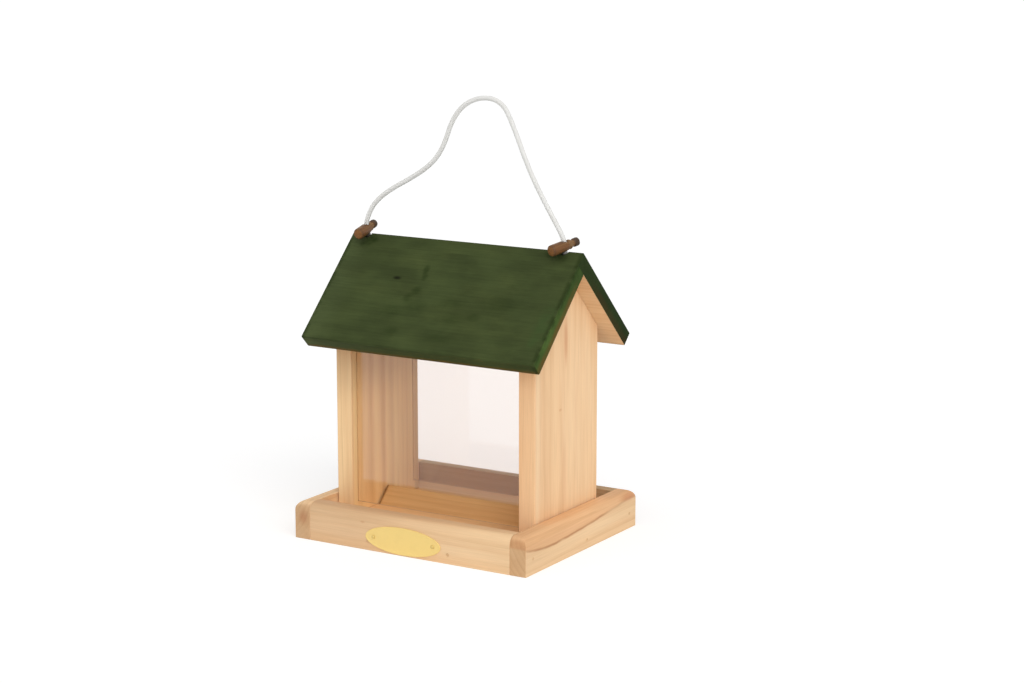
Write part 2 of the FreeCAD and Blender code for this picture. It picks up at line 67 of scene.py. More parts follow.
# Sides of small round holes and shanks, of wider bores, and of turned pieces and roof holes
ROUND_SIDES = 24
BORE_SIDES = 40
LATHE_SIDES = 48
# How far a cutter reaches out of a board, and a cord hole past a gable's peak, as a share of its way from the knot
CUT_CLEAR = 5 * MM
CORD_HOLE_REACH = 1.2

# The camera: where it stands and looks, and its lens and sensor in millimetres
CAMERA_PLACE = (1.104141, -1.729136, 0.580459)
CAMERA_AIM = (0.047388, 0.0, 0.179057)
CAMERA_LENS = 82.9574
CAMERA_SENSOR = 36.0
# Each lamp: its name, the way to it and its strength
LAMPS = (("key_light", (0.62, -0.54, 0.55), 1.2), ("top_light", (0.1, -0.2, 1.0), 0.35))
LAMP_SPREAD = math.radians(50)
# Where the sky is brightest, and its strengths away from there and there
SKY_FRONT = (0.3, -0.9, 0.3)
SKY_STRENGTHS = (0.28, 0.70)
WHITE = (1.0, 1.0, 1.0, 1.0)
# Half the width of the floor, and its tone and glow where it is looked at
FLOOR_HALF = 30.0
FLOOR_TONE = 0.62
FLOOR_GLOW = 0.52

# The cord's route, as X, Y and height above the gables' peaks, in millimetres
CORD_ROUTE = (
    (-98.5, 0.0, 0.0), (-99.4316, 0.0, 7.0), (-102.6, -0.4, 15.0), (-104.6, -1.3, 20.5),
    (-105.0, -2.5, 27.8), (-101.2, -3.0, 37.7), (-94.9, -2.2, 48.5), (-79.7, -1.0, 60.4),
    (-59.0, 0.0, 71.2), (-39.3, 0.0, 83.1), (-27.4, 0.0, 95.1), (-20.1, 0.0, 109.0),
    (-15.4, 0.0, 122.0), (-7.8, 0.0, 133.9), (2.0, 0.0, 141.9), (13.1, 0.0, 146.1),
    (23.1, 0.0, 147.1), (32.6, 0.0, 145.2), (40.7, 0.0, 139.2), (46.4, 0.0, 128.8),
    (52.8, 0.0, 114.8), (60.2, 0.0, 97.3), (69.5, 0.0, 78.4), (80.6, 0.0, 59.9),
    (91.3, 0.0, 43.0), (98.7, 0.0, 31.5), (101.2, 0.0, 20.5), (99.6977, 0.0, 9.0),
    (98.5, 0.0, 0.0),
)
# Steps along the cord, its strands each way round, how far they weave in and out, and the core's gap to them
CORD_STEP = 0.6 * MM
STRANDS = 6
STRAND_SIDES = 6
CORE_SIDES = 16
WEAVE = 0.20 * MM
CORE_GAP = 0.10 * MM
# A knot: steps along it, the turn that its direction is read over, sides, half thickness, and its ring's radius,
# swell and rise
KNOT_STEPS = 96
KNOT_NUDGE = 0.01
KNOT_SIDES = 10
KNOT_GIRTH = 1.35 * MM
KNOT_RING = 2.2 * MM
KNOT_SWELL = 0.95 * MM
KNOT_RISE = 1.9 * MM
# Painted shadow on the cord under the toggles, just above the roof: the middle and the half sizes of each place
CORD_SHADOWS = (
    ((-0.1040, -0.0010, 0.2600), (12 * MM, 12 * MM, 9 * MM)),
    ((0.1003, -0.0010, 0.2590), (10 * MM, 10 * MM, 7 * MM)),
)

# A toggle's outline from its plain end, as radius and place along its axis from the cord's hole, in millimetres
TOGGLE_OUTLINE = (
    (0.0, -17.0), (3.3, -16.9), (4.35, -16.5), (4.85, -15.8), (5.0, -14.8), (5.0, 0.2), (4.8, 1.0),
    (3.95, 1.4), (3.9, 2.9), (4.1, 3.4), (4.3, 4.2), (4.3, 4.9), (4.0, 5.6), (3.4, 5.9),
    (3.1, 6.5), (3.1, 8.6), (3.3, 9.0), (3.7, 9.4), (3.8, 10.2), (3.8, 13.0), (3.6, 13.9),
    (3.0, 14.35), (2.0, 14.4), (1.6, 13.9), (0.0, 13.7),
)
# Where each toggle lies: X and Y of its hole, its height above the ridge, and its turn, tilt and roll in degrees
TOGGLE_PLACES = {
    "left_toggle": (-104.75, -1.7, 3.8, -6.0, 11.6, -4.0),
    "right_toggle": (100.75, 0.0, 4.3, 18.8, 10.9, -6.0),
}
# Half the length that the bore through a toggle is cut
TOGGLE_BORE = 8 * MM
# How far the cord's way through the roof leans outwards and forwards, from a gable's peak up to the ridge
ROOF_HOLE_LEANS = {-1: (5.7, 0.6), 1: (2.3, 0.0)}
# Dark smudges on the roof, the first four of them painted shadow under the toggles, placed on its front slope: X,
# way down the slope, half length and half width in millimetres, and strength, which is below zero for a fresher
# green
ROOF_SMUDGES_AND_SHADOWS = (
    (-96.0, -7.0, 9.0, 6.0, 0.80), (-101.0, -1.0, 9.0, 6.0, 0.60), (90.0, -9.0, 10.0, 5.0, 0.75),
    (101.0, -6.0, 8.0, 5.0, 0.50), (-26.0, 20.0, 4.5, 8.0, 0.70), (-24.0, 28.0, 5.0, 6.0, 0.55),
    (-26.0, 43.0, 7.0, 7.0, 0.50), (-31.0, 51.0, 7.0, 7.0, 0.45), (-41.0, 66.0, 14.0, 10.0, 0.35),
    (-20.0, 60.0, 18.0, 10.0, 0.30), (-32.0, 88.0, 11.0, 8.0, 0.35), (14.0, 52.0, 20.0, 8.0, 0.28),
    (22.0, 68.0, 16.0, 9.0, 0.28), (42.0, 64.0, 11.0, 6.0, 0.38), (62.0, 48.0, 28.0, 12.0, 0.26),
    (20.0, 89.0, 24.0, 7.0, 0.28), (112.0, 66.0, 12.0, 34.0, -0.50), (109.0, 84.0, 7.0, 8.0, -0.30),
)

# A brad's outline from its head, as radius and depth in millimetres
BRAD_OUTLINE = (
    (0.0, -0.05), (0.9, 0.0), (1.25, 0.1), (1.4, 0.3), (1.4, 0.7), (0.8, 1.0), (0.8, 27.5), (0.0, 29.4))
# The hole of a brad, and where the brads are in the tray's corners and along its floor
BRAD_HOLE_RADIUS = 1.5 * MM
BRAD_HOLE_DEPTH = 0.9 * MM
BRAD_HOLE_CLEAR = 1 * MM
CORNER_BRAD_INSET = 12 * MM
CORNER_BRAD_RISE = 14 * MM
FLOOR_BRAD_X = 41.5 * MM
FLOOR_BRAD_Y = 7 * MM
# The plate: sides, the step inside its rim, how far it is dished, and its rounding
PLATE_SIDES = 96
PLATE_STEP = 0.5 * MM
PLATE_DISH = 0.22 * MM
PLATE_ROUND = 0.3 * MM
# A pin's head, as shares of its radius and rise, then its shank, as share of the radius and depth
PIN_HEAD = ((0.0, 1.0), (0.45, 0.93), (0.8, 0.62), (1.0, 0.12), (1.0, 0.0), (0.39, 0.0))
PIN_SHANK = ((0.39, -10.5 * MM), (0.0, -11.0 * MM))
PIN_SIDES = 28

# Width of a growth ring in bare and in stained boards, and how strong the line of the rising ring is
BARE_RING = 4.6 * MM
STAINED_RING = 4.2 * MM
RISING_LINE = 0.88
# Tones of single marks
ABOVE_RING = (0.96, 0.84, 0.765)
FRESH_GREEN = (0.042, 0.078, 0.022)
ROOF_KNOT = (0.008, 0.010, 0.003)
BROWN_BAND = (0.160, 0.066, 0.022)
SOILED_YARN = (0.78, 0.765, 0.72)
# The next colour is the cord's painted shadow under the toggles
SHADOWED_YARN = (0.028, 0.024, 0.010)


def low(node):
    return Vector(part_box(node)[0])


def high(node):
    return Vector(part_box(node)[1])


def middle(node):
    return (low(node) + high(node)) / 2


PEAK_Z = high("left_gable").z


def length(name, description, millimetres):
    return bpy.props.FloatProperty(
        name=name, description=description, default=millimetres * MM, min=0.0, unit="LENGTH", precision=4)


def colour(name, description, default):
    return bpy.props.FloatVectorProperty(
        name=name, description=description, default=default, min=0.0, max=1.0, size=3, subtype="COLOR")


class FeederSizes(bpy.types.PropertyGroup):
    """Sizes that the frame's solids leave open."""

    rail_round: length("Rail rounding", "Rounding along the outer top edges of the tray", 8)
    arris: length("Board edge", "Width of the eased edges of bare boards", 0.6)
    roof_arris: length("Roof edge", "Width of the eased edges of the roof boards", 1.3)
    sheet_arris: length("Window edge", "Width of the polished edges of the clear sheets", 0.25)
    groove_depth: length("Groove depth", "Depth of the window grooves in the gables", 5)
    groove_play: length("Groove play", "How much wider a groove is than its window", 0.4)
    knot_pocket_dia: length("Knot pocket", "Diameter of the pocket that holds a cord knot", 13)
    knot_pocket_depth: length("Knot pocket depth", "Depth of the pocket that holds a cord knot", 13)
    knot_drop: length("Knot drop", "Height of a gable's peak above its knot pocket", 28)
    cord_hole_dia: length("Cord hole", "Diameter of the cord's hole in a gable", 5.5)
    roof_hole_dia: length("Roof hole", "Diameter of the cord's holes in the roof", 7.2)
    roof_thick: length("Roof thickness", "Thickness of the roof boards", 14)
    cord_dia: length("Cord", "Diameter of the cord", 4.5)
    cord_pitch: length("Braid pitch", "Length of the cord in which a strand goes once round it", 18)
    strand_thick: length("Strand thickness", "Thickness of a strand of the braid", 0.72)
    strand_width: length("Strand width", "Width of a strand of the braid", 1.75)
    toggle_hole_dia: length("Toggle hole", "Diameter of the cord's hole through a toggle", 7)
    head_sink: length("Head sink", "How deep a brad's head is punched in", 0.15)
    plate_rim: length("Plate rim", "Width of the pressed rim of the oval plate", 1.1)
    roof_lift: length("Roof lift", "How far the roof goes up its cord", 50)
    leg_rise: length("Leg rise", "How far above the ridge the cord's legs stay upright", 20)


class FeederColours(bpy.types.PropertyGroup):
    """Colours of the finishes."""

    early_wood: colour("Early wood", "Pale part of a growth ring", (0.87, 0.60, 0.345))
    late_wood: colour("Late wood", "Dark part of a growth ring", (0.66, 0.39, 0.19))
    pale_band: colour("Pale bands", "Pale bands along the grain", (0.93, 0.69, 0.43))
    warm_band: colour("Warm bands", "Darker bands along the grain", (0.76, 0.46, 0.245))
    dark_streak: colour("Dark streaks", "Single dark lines of the grain", (0.50, 0.215, 0.085))
    wood_knot: colour("Knots", "Small knots and resin marks", (0.55, 0.18, 0.07))
    end_grain: colour("End grain", "Tint of the ends of the boards", (0.76, 0.69, 0.63))
    green_stain: colour("Green stain", "Stain of the roof", (0.0475, 0.0635, 0.0205))
    green_light: colour("Thin stain", "Where the stain of the roof is thinner", (0.060, 0.075, 0.023))
    green_end: colour("Green ends", "Stain on the ends of the roof boards", (0.0725, 0.125, 0.0265))
    brown_edge: colour("Brown edges", "Wood that the stain hardly reached", (0.115, 0.070, 0.017))
    # Also the colour of the painted shadow under the toggles on the roof
    stain_dark_and_shadow: colour("Dark stain", "Smudges and pits that took up more stain", (0.014, 0.026, 0.004))
    brown_stain: colour("Brown stain", "Stain of the toggles", (0.192, 0.094, 0.032))
    brown_end: colour("Brown end", "Plain ends of the toggles", (0.225, 0.090, 0.020))
    # The next colour is a painted highlight on the toggles' necks
    brown_neck_highlight: colour("Brown neck", "Rubbed necks of the toggles", (0.255, 0.160, 0.075))
    # The next colour is painted shade on the toggles' far flanges, and also the dark rims by their plain ends
    dark_brown_and_shade: colour("Dark brown", "Dark rims of the toggles", (0.040, 0.026, 0.016))
    cord: colour("Cord", "White of the cord", (0.86, 0.855, 0.83))
    sheet: colour("Clear sheet", "Tint of the windows", (0.972, 0.933, 0.912))
    # The next colour is painted shade on the windows' sawn edges, dark along their lower edges
    sheet_edge_shade: colour("Sheet edges", "Sawn edges of the windows", (0.52, 0.33, 0.18))
    brass: colour("Brass", "Metal of the oval plate", (0.865, 0.640, 0.230))
    brass_pin: colour("Brass pins", "Metal of the oval plate's pins", (0.72, 0.53, 0.18))
    steel: colour("Steel", "Dulled metal of the brads and screws", (0.75, 0.475, 0.25))
    stained_steel: colour("Stained steel", "Nail heads under the roof's stain", (0.036, 0.046, 0.016))
    floor: colour("Floor", "The pale floor under the feeder", (0.97, 0.97, 0.97))


def scaled(hue, factor):
    """A colour, made lighter or darker."""
    return tuple(factor * value for value in hue)


class Paint:
    """A node tree, and the sums that its patterns are made of; values are numbers or sockets."""

    def __init__(self, tree):
        self.tree = tree

    def feed(self, node, inputs):
        """Links sockets to a node's inputs by name or number, or sets their values."""
        for name, value in inputs.items():
            if isinstance(value, bpy.types.NodeSocket):
                self.tree.links.new(value, node.inputs[name])
            else:
                node.inputs[name].default_value = value

    def put(self, kind, inputs=None, **settings):
        """Adds a node."""
        made = self.tree.nodes.new(kind)
        for name, value in settings.items():
            setattr(made, name, value)
        self.feed(made, inputs or {})
        return made

    def number(self, operation, *values, clamp=False):
        """A Math node's result."""
        return self.put("ShaderNodeMath", dict(enumerate(values)), operation=operation, use_clamp=clamp).outputs[0]

    def times(self, first, second):
        return self.number("MULTIPLY", first, second)

    def line(self, value, slope, start, clamp=False):
        """A value times a slope, plus a start."""
        return self.number("MULTIPLY_ADD", value, slope, start, clamp=clamp)

    def vector(self, operation, *values):
        """A Vector Math node's result."""
        made = self.put("ShaderNodeVectorMath", dict(enumerate(values)), operation=operation)
        return made.outputs["Value" if operation in ("LENGTH", "DOT_PRODUCT") else "Vector"]

    def noise(self, at, stretch, detail=2.0, output="Fac"):
        """Noise of about size 1, stretched by three scales."""
        at = self.vector("MULTIPLY", at, stretch)
        inputs = {"Vector": at, "Scale": 1.0, "Detail": detail, "Roughness": 0.55}
        return self.put("ShaderNodeTexNoise", inputs).outputs[output]

    def fade(self, value, start, end, first=0.0, last=1.0):
        """A smooth step from one value to another."""
        inputs = {"Value": value, "From Min": start, "From Max": end, "To Min": first, "To Max": last}
        return self.put("ShaderNodeMapRange", inputs, interpolation_type="SMOOTHSTEP").outputs["Result"]

    def blended(self, factor, first, second, blend_type="MIX"):
        """A mix of two colours."""
        first, second = (
            value if isinstance(value, bpy.types.NodeSocket) else (*value, 1.0) for value in (first, second))
        inputs = {"Factor": factor, 6: first, 7: second}
        return self.put("ShaderNodeMix", inputs, data_type="RGBA", blend_type=blend_type).outputs[2]

    def tinted(self, hue, tint):
        """A colour times a tint."""
        return self.blended(1.0, hue, tint, "MULTIPLY")

    def toned(self, hue, value, start, end, first, last):
        """A colour, made lighter or darker by a pattern."""
        tone = self.fade(value, start, end, first, last)
        return self.tinted(hue, self.put("ShaderNodeCombineColor", {0: tone, 1: tone, 2: tone}).outputs[0])

    def place(self, output="Object"):
        """Where on the piece a point is, or another of its coordinates."""
        return self.put("ShaderNodeTexCoord").outputs[output]

    def along(self, place, axis):
        """One coordinate of a place."""
        return self.put("ShaderNodeSeparateXYZ", {0: place}).outputs[axis]

    def spot(self, place, centre, size):
        """1 at the heart of a knot or smudge and 0 away from it."""
        off = self.vector("DIVIDE", self.vector("SUBTRACT", place, centre), size)
        return self.fade(self.vector("LENGTH", off), 0.2, 1.0, 1.0, 0.0)

    def stripe(self, place, axis, at, width):
        """1 on a wavering line of the grain and 0 away from it, across one axis."""
        waver = self.line(self.noise(place, (14.0,) * 3), 6 * MM, -3 * MM)
        off = self.number("SUBTRACT", self.number("ADD", self.along(place, axis), waver), at)
        return self.fade(self.number("ABSOLUTE", off), 0.0, width, 1.0, 0.0)

    def shaded(self, hue, place, axis, start, end, tint):
        """A colour with a tint that comes in along one axis."""
        return self.blended(self.fade(self.along(place, axis), start, end), hue, self.tinted(hue, tint))


class Finish(Paint):
    """A new material and its main shader."""

    def __init__(self, name):
        self.material = bpy.data.materials.new(name)
        self.material.use_nodes = True
        super().__init__(self.material.node_tree)
        self.shader = self.tree.nodes["Principled BSDF"]

    def surface(self, hue, roughness, gloss, height, depth, strength):
        """The material, once it has its colour, roughness, gloss and relief."""
        bump = self.put("ShaderNodeBump", {"Height": height, "Distance": depth, "Strength": strength})
        self.feed(self.shader, {
            "Base Color": hue, "Roughness": roughness, "Specular IOR Level": gloss,
            "Normal": bump.outputs["Normal"]})
        return self.material


# Turns that bring a board's grain from the named axis to the pattern's Z
GRAIN_TURNS = {"X": (0.0, -math.pi / 2, 0.0), "Y": (math.pi / 2, 0.0, 0.0), "Z": (0.0, 0.0, 0.0)}
GRAIN_AXES = {"X": (1.0, 0.0, 0.0), "Y": (0.0, 1.0, 0.0), "Z": (0.0, 0.0, 1.0)}
# How the rings waver: stretches of the noise, and how far it pushes them
RING_WAVERS = (((16.0, 16.0, 3.5), 8 * MM), ((90.0, 90.0, 14.0), 0.9 * MM))


def grain_parts(paint, grain, pith, spacing):
    """The parts of a softwood pattern: rings about a pith that lies along the grain, fibres, streaks and ends."""
    place = paint.place()
    turn = {"Vector": place, "Rotation": GRAIN_TURNS[grain], "Location": pith}
    at = shaken = paint.put("ShaderNodeMapping", turn).outputs["Vector"]
    for stretch, push in RING_WAVERS:
        drift = paint.vector("SUBTRACT", paint.noise(at, stretch, 2.0, "Color"), (0.5, 0.5, 0.5))
        shaken = paint.vector("ADD", shaken, paint.vector("MULTIPLY", drift, (push, push, 0.0)))
    radius = paint.vector("LENGTH", paint.vector("MULTIPLY", shaken, (1.0, 1.0, 0.0)))
    count = paint.number("DIVIDE", radius, spacing)
    uneven = {"W": paint.times(count, 0.37), "Scale": 1.0}
    uneven = paint.put("ShaderNodeTexNoise", uneven, noise_dimensions="1D").outputs["Fac"]
    count = paint.number("ADD", count, paint.times(uneven, 1.6))
    within = paint.number("FRACT", count)
    each = paint.put("ShaderNodeTexWhiteNoise", {"W": paint.number("FLOOR", count)}, noise_dimensions="1D")
    ring = paint.times(paint.fade(within, 0.25, 0.93), paint.fade(within, 0.93, 1.0, 1.0, 0.0))
    ring = paint.times(ring, paint.line(each.outputs["Value"], 0.75, 0.25))
    end = paint.vector("DOT_PRODUCT", paint.place("Normal"), GRAIN_AXES[grain])
    return {
        "ring": ring,
        "fibre": paint.noise(at, (1400.0, 1400.0, 28.0), 3.0),
        "streak": paint.noise(at, (130.0, 130.0, 7.0), 3.0),
        "band": paint.noise(at, (44.0, 44.0, 4.0)),
        "tone": paint.noise(at, (9.0, 9.0, 4.0)),
        "end": paint.fade(paint.number("ABSOLUTE", end), 0.55, 0.95),
        "place": place,
    }


def rising_ring(paint, place):
    """A growth ring that comes out on the right rail's face and rises to the back: its line and what is above."""
    back = paint.along(place, "Y")
    to_back = paint.line(back, 1 / 0.135, 0.055 / 0.135, clamp=True)
    to_front = paint.line(back, -1 / 0.041, -0.055 / 0.041, clamp=True)
    height = paint.line(paint.number("POWER", to_back, 1.5), 9.8 * MM, 18.5 * MM)
    height = paint.line(paint.number("POWER", to_front, 2.0), 5 * MM, height)
    ragged = paint.line(paint.noise(place, (60.0,) * 3), 1.6 * MM, -0.8 * MM)
    above = paint.number("SUBTRACT", paint.number("ADD", paint.along(place, "Z"), ragged), height)
    patchy = paint.fade(paint.noise(place, (25.0,) * 3), 0.35, 0.65, 0.4, 1.0)
    line = paint.fade(paint.number("ABSOLUTE", above), 0.0, 1.9 * MM, 1.0, 0.0)
    return paint.times(line, patchy), paint.fade(above, -0.5 * MM, 1.5 * MM)


def bare_wood(name, grain, pith, ring=0.42, knots=(), stripes=(), shades=(), ring_line=None, tint=None):
    """Planed bare softwood; stripes are single dark (or, below zero, pale) lines of the grain."""
    hues = bpy.context.scene.feeder_colours
    paint = Finish(name)
    parts = grain_parts(paint, grain, pith, BARE_RING)
    place = parts["place"]
    wood = paint.blended(paint.times(parts["ring"], ring), hues.early_wood, hues.late_wood)
    for part, start, end, strength, hue in (
            ("band", 0.48, 0.78, 0.55, hues.warm_band), ("band", 0.5, 0.24, 0.60, hues.pale_band),
            ("streak", 0.5, 0.8, 0.40, hues.warm_band)):
        wood = paint.blended(paint.fade(parts[part], start, end, 0.0, strength), wood, hue)
    for axis, at, width, strength in stripes:
        line = paint.times(paint.stripe(place, axis, at, width), abs(strength))
        wood = paint.blended(line, wood, hues.dark_streak if strength > 0 else hues.pale_band)
    if ring_line:
        line, above = ring_line(paint, place)
        wood = paint.blended(above, wood, paint.tinted(wood, ABOVE_RING))
        line = paint.times(line, paint.line(parts["end"], -RISING_LINE, RISING_LINE))
        wood = paint.blended(line, wood, hues.dark_streak)
    wood = paint.toned(wood, parts["fibre"], 0.3, 0.72, 1.02, 0.94)
    wood = paint.toned(wood, parts["tone"], 0.3, 0.7, 0.95, 1.04)
    for centre, size, strength in knots:
        wood = paint.blended(paint.times(paint.spot(place, centre, size), strength), wood, hues.wood_knot)
    wood = paint.blended(parts["end"], wood, paint.tinted(wood, hues.end_grain))
    for shade in shades:
        wood = paint.shaded(wood, place, *shade)
    if tint:
        wood = paint.tinted(wood, tint)
    relief = paint.line(parts["ring"], -0.5, parts["fibre"])
    rough = paint.fade(parts["fibre"], 0.2, 0.8, 0.52, 0.70)
    return paint.surface(wood, rough, gloss=0.2, height=relief, depth=0.10 * MM, strength=0.5)


def green_wood(name, pith, under, end_tone, end_shade, knots, smudges_and_shadows):
    """Softwood under a dark green stain, pitted along the edges of its ends and brown by its bare underside."""
    hues = bpy.context.scene.feeder_colours
    paint = Finish(name)
    parts = grain_parts(paint, "X", pith, STAINED_RING)
    place = parts["place"]
    at_end = parts["end"]
    wood = paint.blended(paint.times(parts["ring"], 0.22), hues.green_stain, scaled(hues.green_stain, 0.74))
    cloud = paint.noise(place, (20.0, 32.0, 32.0), 4.0)
    wood = paint.blended(paint.fade(cloud, 0.42, 0.72, 0.0, 0.45), wood, hues.green_light)
    patch = paint.noise(paint.vector("ADD", place, pith), (26.0, 42.0, 42.0), 5.0)
    wood = paint.toned(wood, patch, 0.3, 0.7, 0.84, 1.14)
    wood = paint.toned(wood, parts["streak"], 0.25, 0.8, 1.06, 0.92)
    wood = paint.toned(wood, parts["fibre"], 0.25, 0.75, 1.08, 0.90)
    wood = paint.shaded(wood, place, "X", -85 * MM, -119 * MM, (1.22, 1.20, 1.35))
    broken = paint.fade(paint.noise(place, (110.0, 160.0, 160.0), 3.0), 0.3, 0.6, 0.35, 1.0)
    # Dark smudges of the stain, the first four of them painted shadow under the toggles
    for centre, size, strength in smudges_and_shadows:
        dim = paint.times(paint.spot(place, centre, size), paint.times(broken, abs(strength)))
        wood = paint.blended(dim, wood, hues.stain_dark_and_shadow if strength > 0 else FRESH_GREEN)
    for centre, size in knots:
        wood = paint.blended(paint.times(paint.spot(place, centre, size), 0.95), wood, ROOF_KNOT)

    # The ends: mottled, with their own tone
    mottled = paint.blended(paint.fade(cloud, 0.4, 0.65, 0.40, 0.0), hues.green_end, hues.stain_dark_and_shadow)
    mottled = paint.shaded(mottled, place, "Z", *end_shade)
    wood = paint.blended(at_end, wood, paint.tinted(mottled, (end_tone,) * 3))

    # Brown by the underside, on the ends away from the ridge and along the eaves
    way, level, thick = under
    height = paint.number("SUBTRACT", paint.vector("DOT_PRODUCT", place, way), level)
    patchy = paint.fade(paint.noise(place, (85.0,) * 3, 3.0), 0.37, 0.57)
    low_edge = paint.number("SUBTRACT", height, paint.times(at_end, 2.5 * MM))
    bare = paint.fade(low_edge, 1.0 * MM, 6.5 * MM, 0.45 + 0.45 * end_tone, 0.0)
    bare = paint.times(bare, paint.line(patchy, 0.4, 0.6))
    off_ridge = paint.number("ABSOLUTE", paint.along(place, "Y"))
    far_down = paint.times(at_end, paint.fade(off_ridge, 6 * MM, 28 * MM))
    bare = paint.times(bare, paint.number("MAXIMUM", far_down, paint.fade(off_ridge, 60 * MM, 70 * MM)))
    wood = paint.blended(bare, wood, scaled(hues.brown_edge, end_tone))

    # Dark pits along the upper edges of the ends
    off_middle = paint.number("ABSOLUTE", paint.along(place, "X"))
    by_end = paint.number("SUBTRACT", paint.fade(off_middle, 114.5 * MM, 118.5 * MM), at_end, clamp=True)
    upper = paint.times(paint.fade(height, thick - 5 * MM, thick - 1 * MM), at_end)
    pits = paint.times(patchy, paint.number("MAXIMUM", upper, by_end))
    wood = paint.blended(paint.times(pits, 0.62), wood, hues.stain_dark_and_shadow)
    relief = paint.line(pits, -2.0, paint.line(parts["ring"], -0.8, parts["fibre"]))
    rough = paint.fade(parts["fibre"], 0.2, 0.8, 0.55, 0.72)
    return paint.surface(wood, rough, gloss=0.05, height=relief, depth=0.14 * MM, strength=0.6)


def clear_sheet(name):
    """Clear acrylic that lets lamps through."""
    tint = (*bpy.context.scene.feeder_colours.sheet, 1.0)
    paint = Finish(name)
    haze = paint.noise(paint.place(), (30.0, 30.0, 22.0), 3.0)
    paint.feed(paint.shader, {
        "Base Color": tint, "Transmission Weight": 1.0, "IOR": 1.49,
        "Roughness": paint.fade(haze, 0.35, 0.75, 0.01, 0.05)})
    through = paint.put("ShaderNodeBsdfTransparent", {"Color": tint})
    path = paint.put("ShaderNodeLightPath").outputs
    open_ray = paint.number("MAXIMUM", path["Is Shadow Ray"], path["Is Diffuse Ray"])
    both = paint.put("ShaderNodeMixShader", {0: open_ray, 1: paint.shader.outputs[0], 2: through.outputs[0]})
    paint.feed(paint.tree.nodes["Material Output"], {"Surface": both.outputs[0]})
    return paint.material


def brown_wood(name, centre, turn):
    """Brown stained turned wood with a dark rim by its plain end, painted shade on its far flange and a painted
    highlight on its neck, laid along the toggle's own axis.
    """
    hues = bpy.context.scene.feeder_colours
    paint = Finish(name)
    turned_to = {"Vector": paint.place(), "Location": centre, "Rotation": turn}
    at = paint.put("ShaderNodeMapping", turned_to, vector_type="TEXTURE").outputs["Vector"]
    fibre = paint.noise(at, (900.0, 40.0, 900.0), 3.0)
    band = paint.noise(at, (260.0, 16.0, 260.0))
    along = paint.along(at, "Y")
    rim = paint.fade(along, -13.6 * MM, -15.6 * MM, 0.0, 0.30)
    rim = paint.times(rim, paint.fade(along, -16.9 * MM, -16.5 * MM))
    # Painted shade on the far flange, together with the dark rim by the plain end
    dark = paint.number("MAXIMUM", paint.fade(along, 7.5 * MM, 10.0 * MM, 0.0, 0.85), rim)
    # A painted highlight on the neck
    neck = paint.times(paint.fade(along, 1.0 * MM, 2.5 * MM, 0.0, 0.40), paint.fade(along, 8.5 * MM, 6.5 * MM))
    wood = paint.blended(paint.fade(band, 0.3, 0.7), hues.brown_stain, BROWN_BAND)
    wood = paint.blended(paint.fade(along, -16.3 * MM, -16.85 * MM, 0.0, 0.7), wood, hues.brown_end)
    wood = paint.blended(neck, wood, hues.brown_neck_highlight)
    wood = paint.toned(wood, fibre, 0.25, 0.75, 1.15, 0.82)
    wood = paint.blended(dark, wood, hues.dark_brown_and_shade)
    rough = paint.fade(fibre, 0.2, 0.8, 0.45, 0.60)
    return paint.surface(wood, rough, gloss=0.25, height=fibre, depth=0.10 * MM, strength=0.6)


def braided_cord(name):
    """White yarn, with filaments along each strand."""
    paint = Finish(name)
    threads = paint.noise(paint.put("ShaderNodeUVMap", uv_map="UVMap").outputs["UV"], (90.0, 14.0, 1.0))
    place = paint.place()
    soil = paint.fade(paint.noise(place, (60.0,) * 3), 0.35, 0.75, 0.0, 0.35)
    yarn = paint.blended(soil, bpy.context.scene.feeder_colours.cord, SOILED_YARN)
    # Painted shadow on the cord where it goes into the roof under each toggle
    for centre, size in CORD_SHADOWS:
        yarn = paint.blended(paint.spot(place, centre, size), yarn, SHADOWED_YARN)
    yarn = paint.toned(yarn, threads, 0.25, 0.75, 1.0, 0.84)
    paint.feed(paint.shader, {"Sheen Weight": 0.1})
    rough = paint.fade(threads, 0.2, 0.8, 0.62, 0.8)
    return paint.surface(yarn, rough, gloss=0.3, height=threads, depth=0.06 * MM, strength=0.5)


def metal(name, tone, polish, weight, mottle):
    """Metal with faint brushing and a mottled tone."""
    paint = Finish(name)
    place = paint.place()
    brush = paint.noise(place, (60.0, 2200.0, 2200.0))
    cloud = paint.fade(paint.noise(place, (180.0,) * 3, 3.0), 0.4, 0.7)
    mottled = paint.blended(cloud, tone, scaled(tone, 1.0 - mottle))
    paint.feed(paint.shader, {"Metallic": weight})
    rough = paint.fade(brush, 0.2, 0.8, polish, polish + 0.14)
    return paint.surface(mottled, rough, gloss=0.5, height=brush, depth=0.02 * MM, strength=0.3)


def board(corner, opposite):
    """A square-edged board between two corners."""
    bm = bmesh.new()
    size = Matrix.Diagonal((*(opposite - corner), 1.0))
    bmesh.ops.create_cube(bm, size=1.0, matrix=Matrix.Translation((corner + opposite) / 2) @ size)
    return bm


def draw_out(bm, face, way):
    """Draws a face out into a solid."""
    drawn = bmesh.ops.extrude_face_region(bm, geom=[face])
    corners = [item for item in drawn["geom"] if isinstance(item, bmesh.types.BMVert)]
    bmesh.ops.translate(bm, vec=way, verts=corners)
    bmesh.ops.recalc_face_normals(bm, faces=bm.faces)


def prism(section, start, end):
    """A section of (Y, Z) corners drawn out along X."""
    bm = bmesh.new()
    draw_out(bm, bm.faces.new([bm.verts.new((start, y, z)) for y, z in section]), (end - start, 0.0, 0.0))
    return bm


def standing(place, way):
    """The move that brings a shape along Z to a place, along a way."""
    return Matrix.Translation(place) @ Vector((0, 0, 1)).rotation_difference(way).to_matrix().to_4x4()


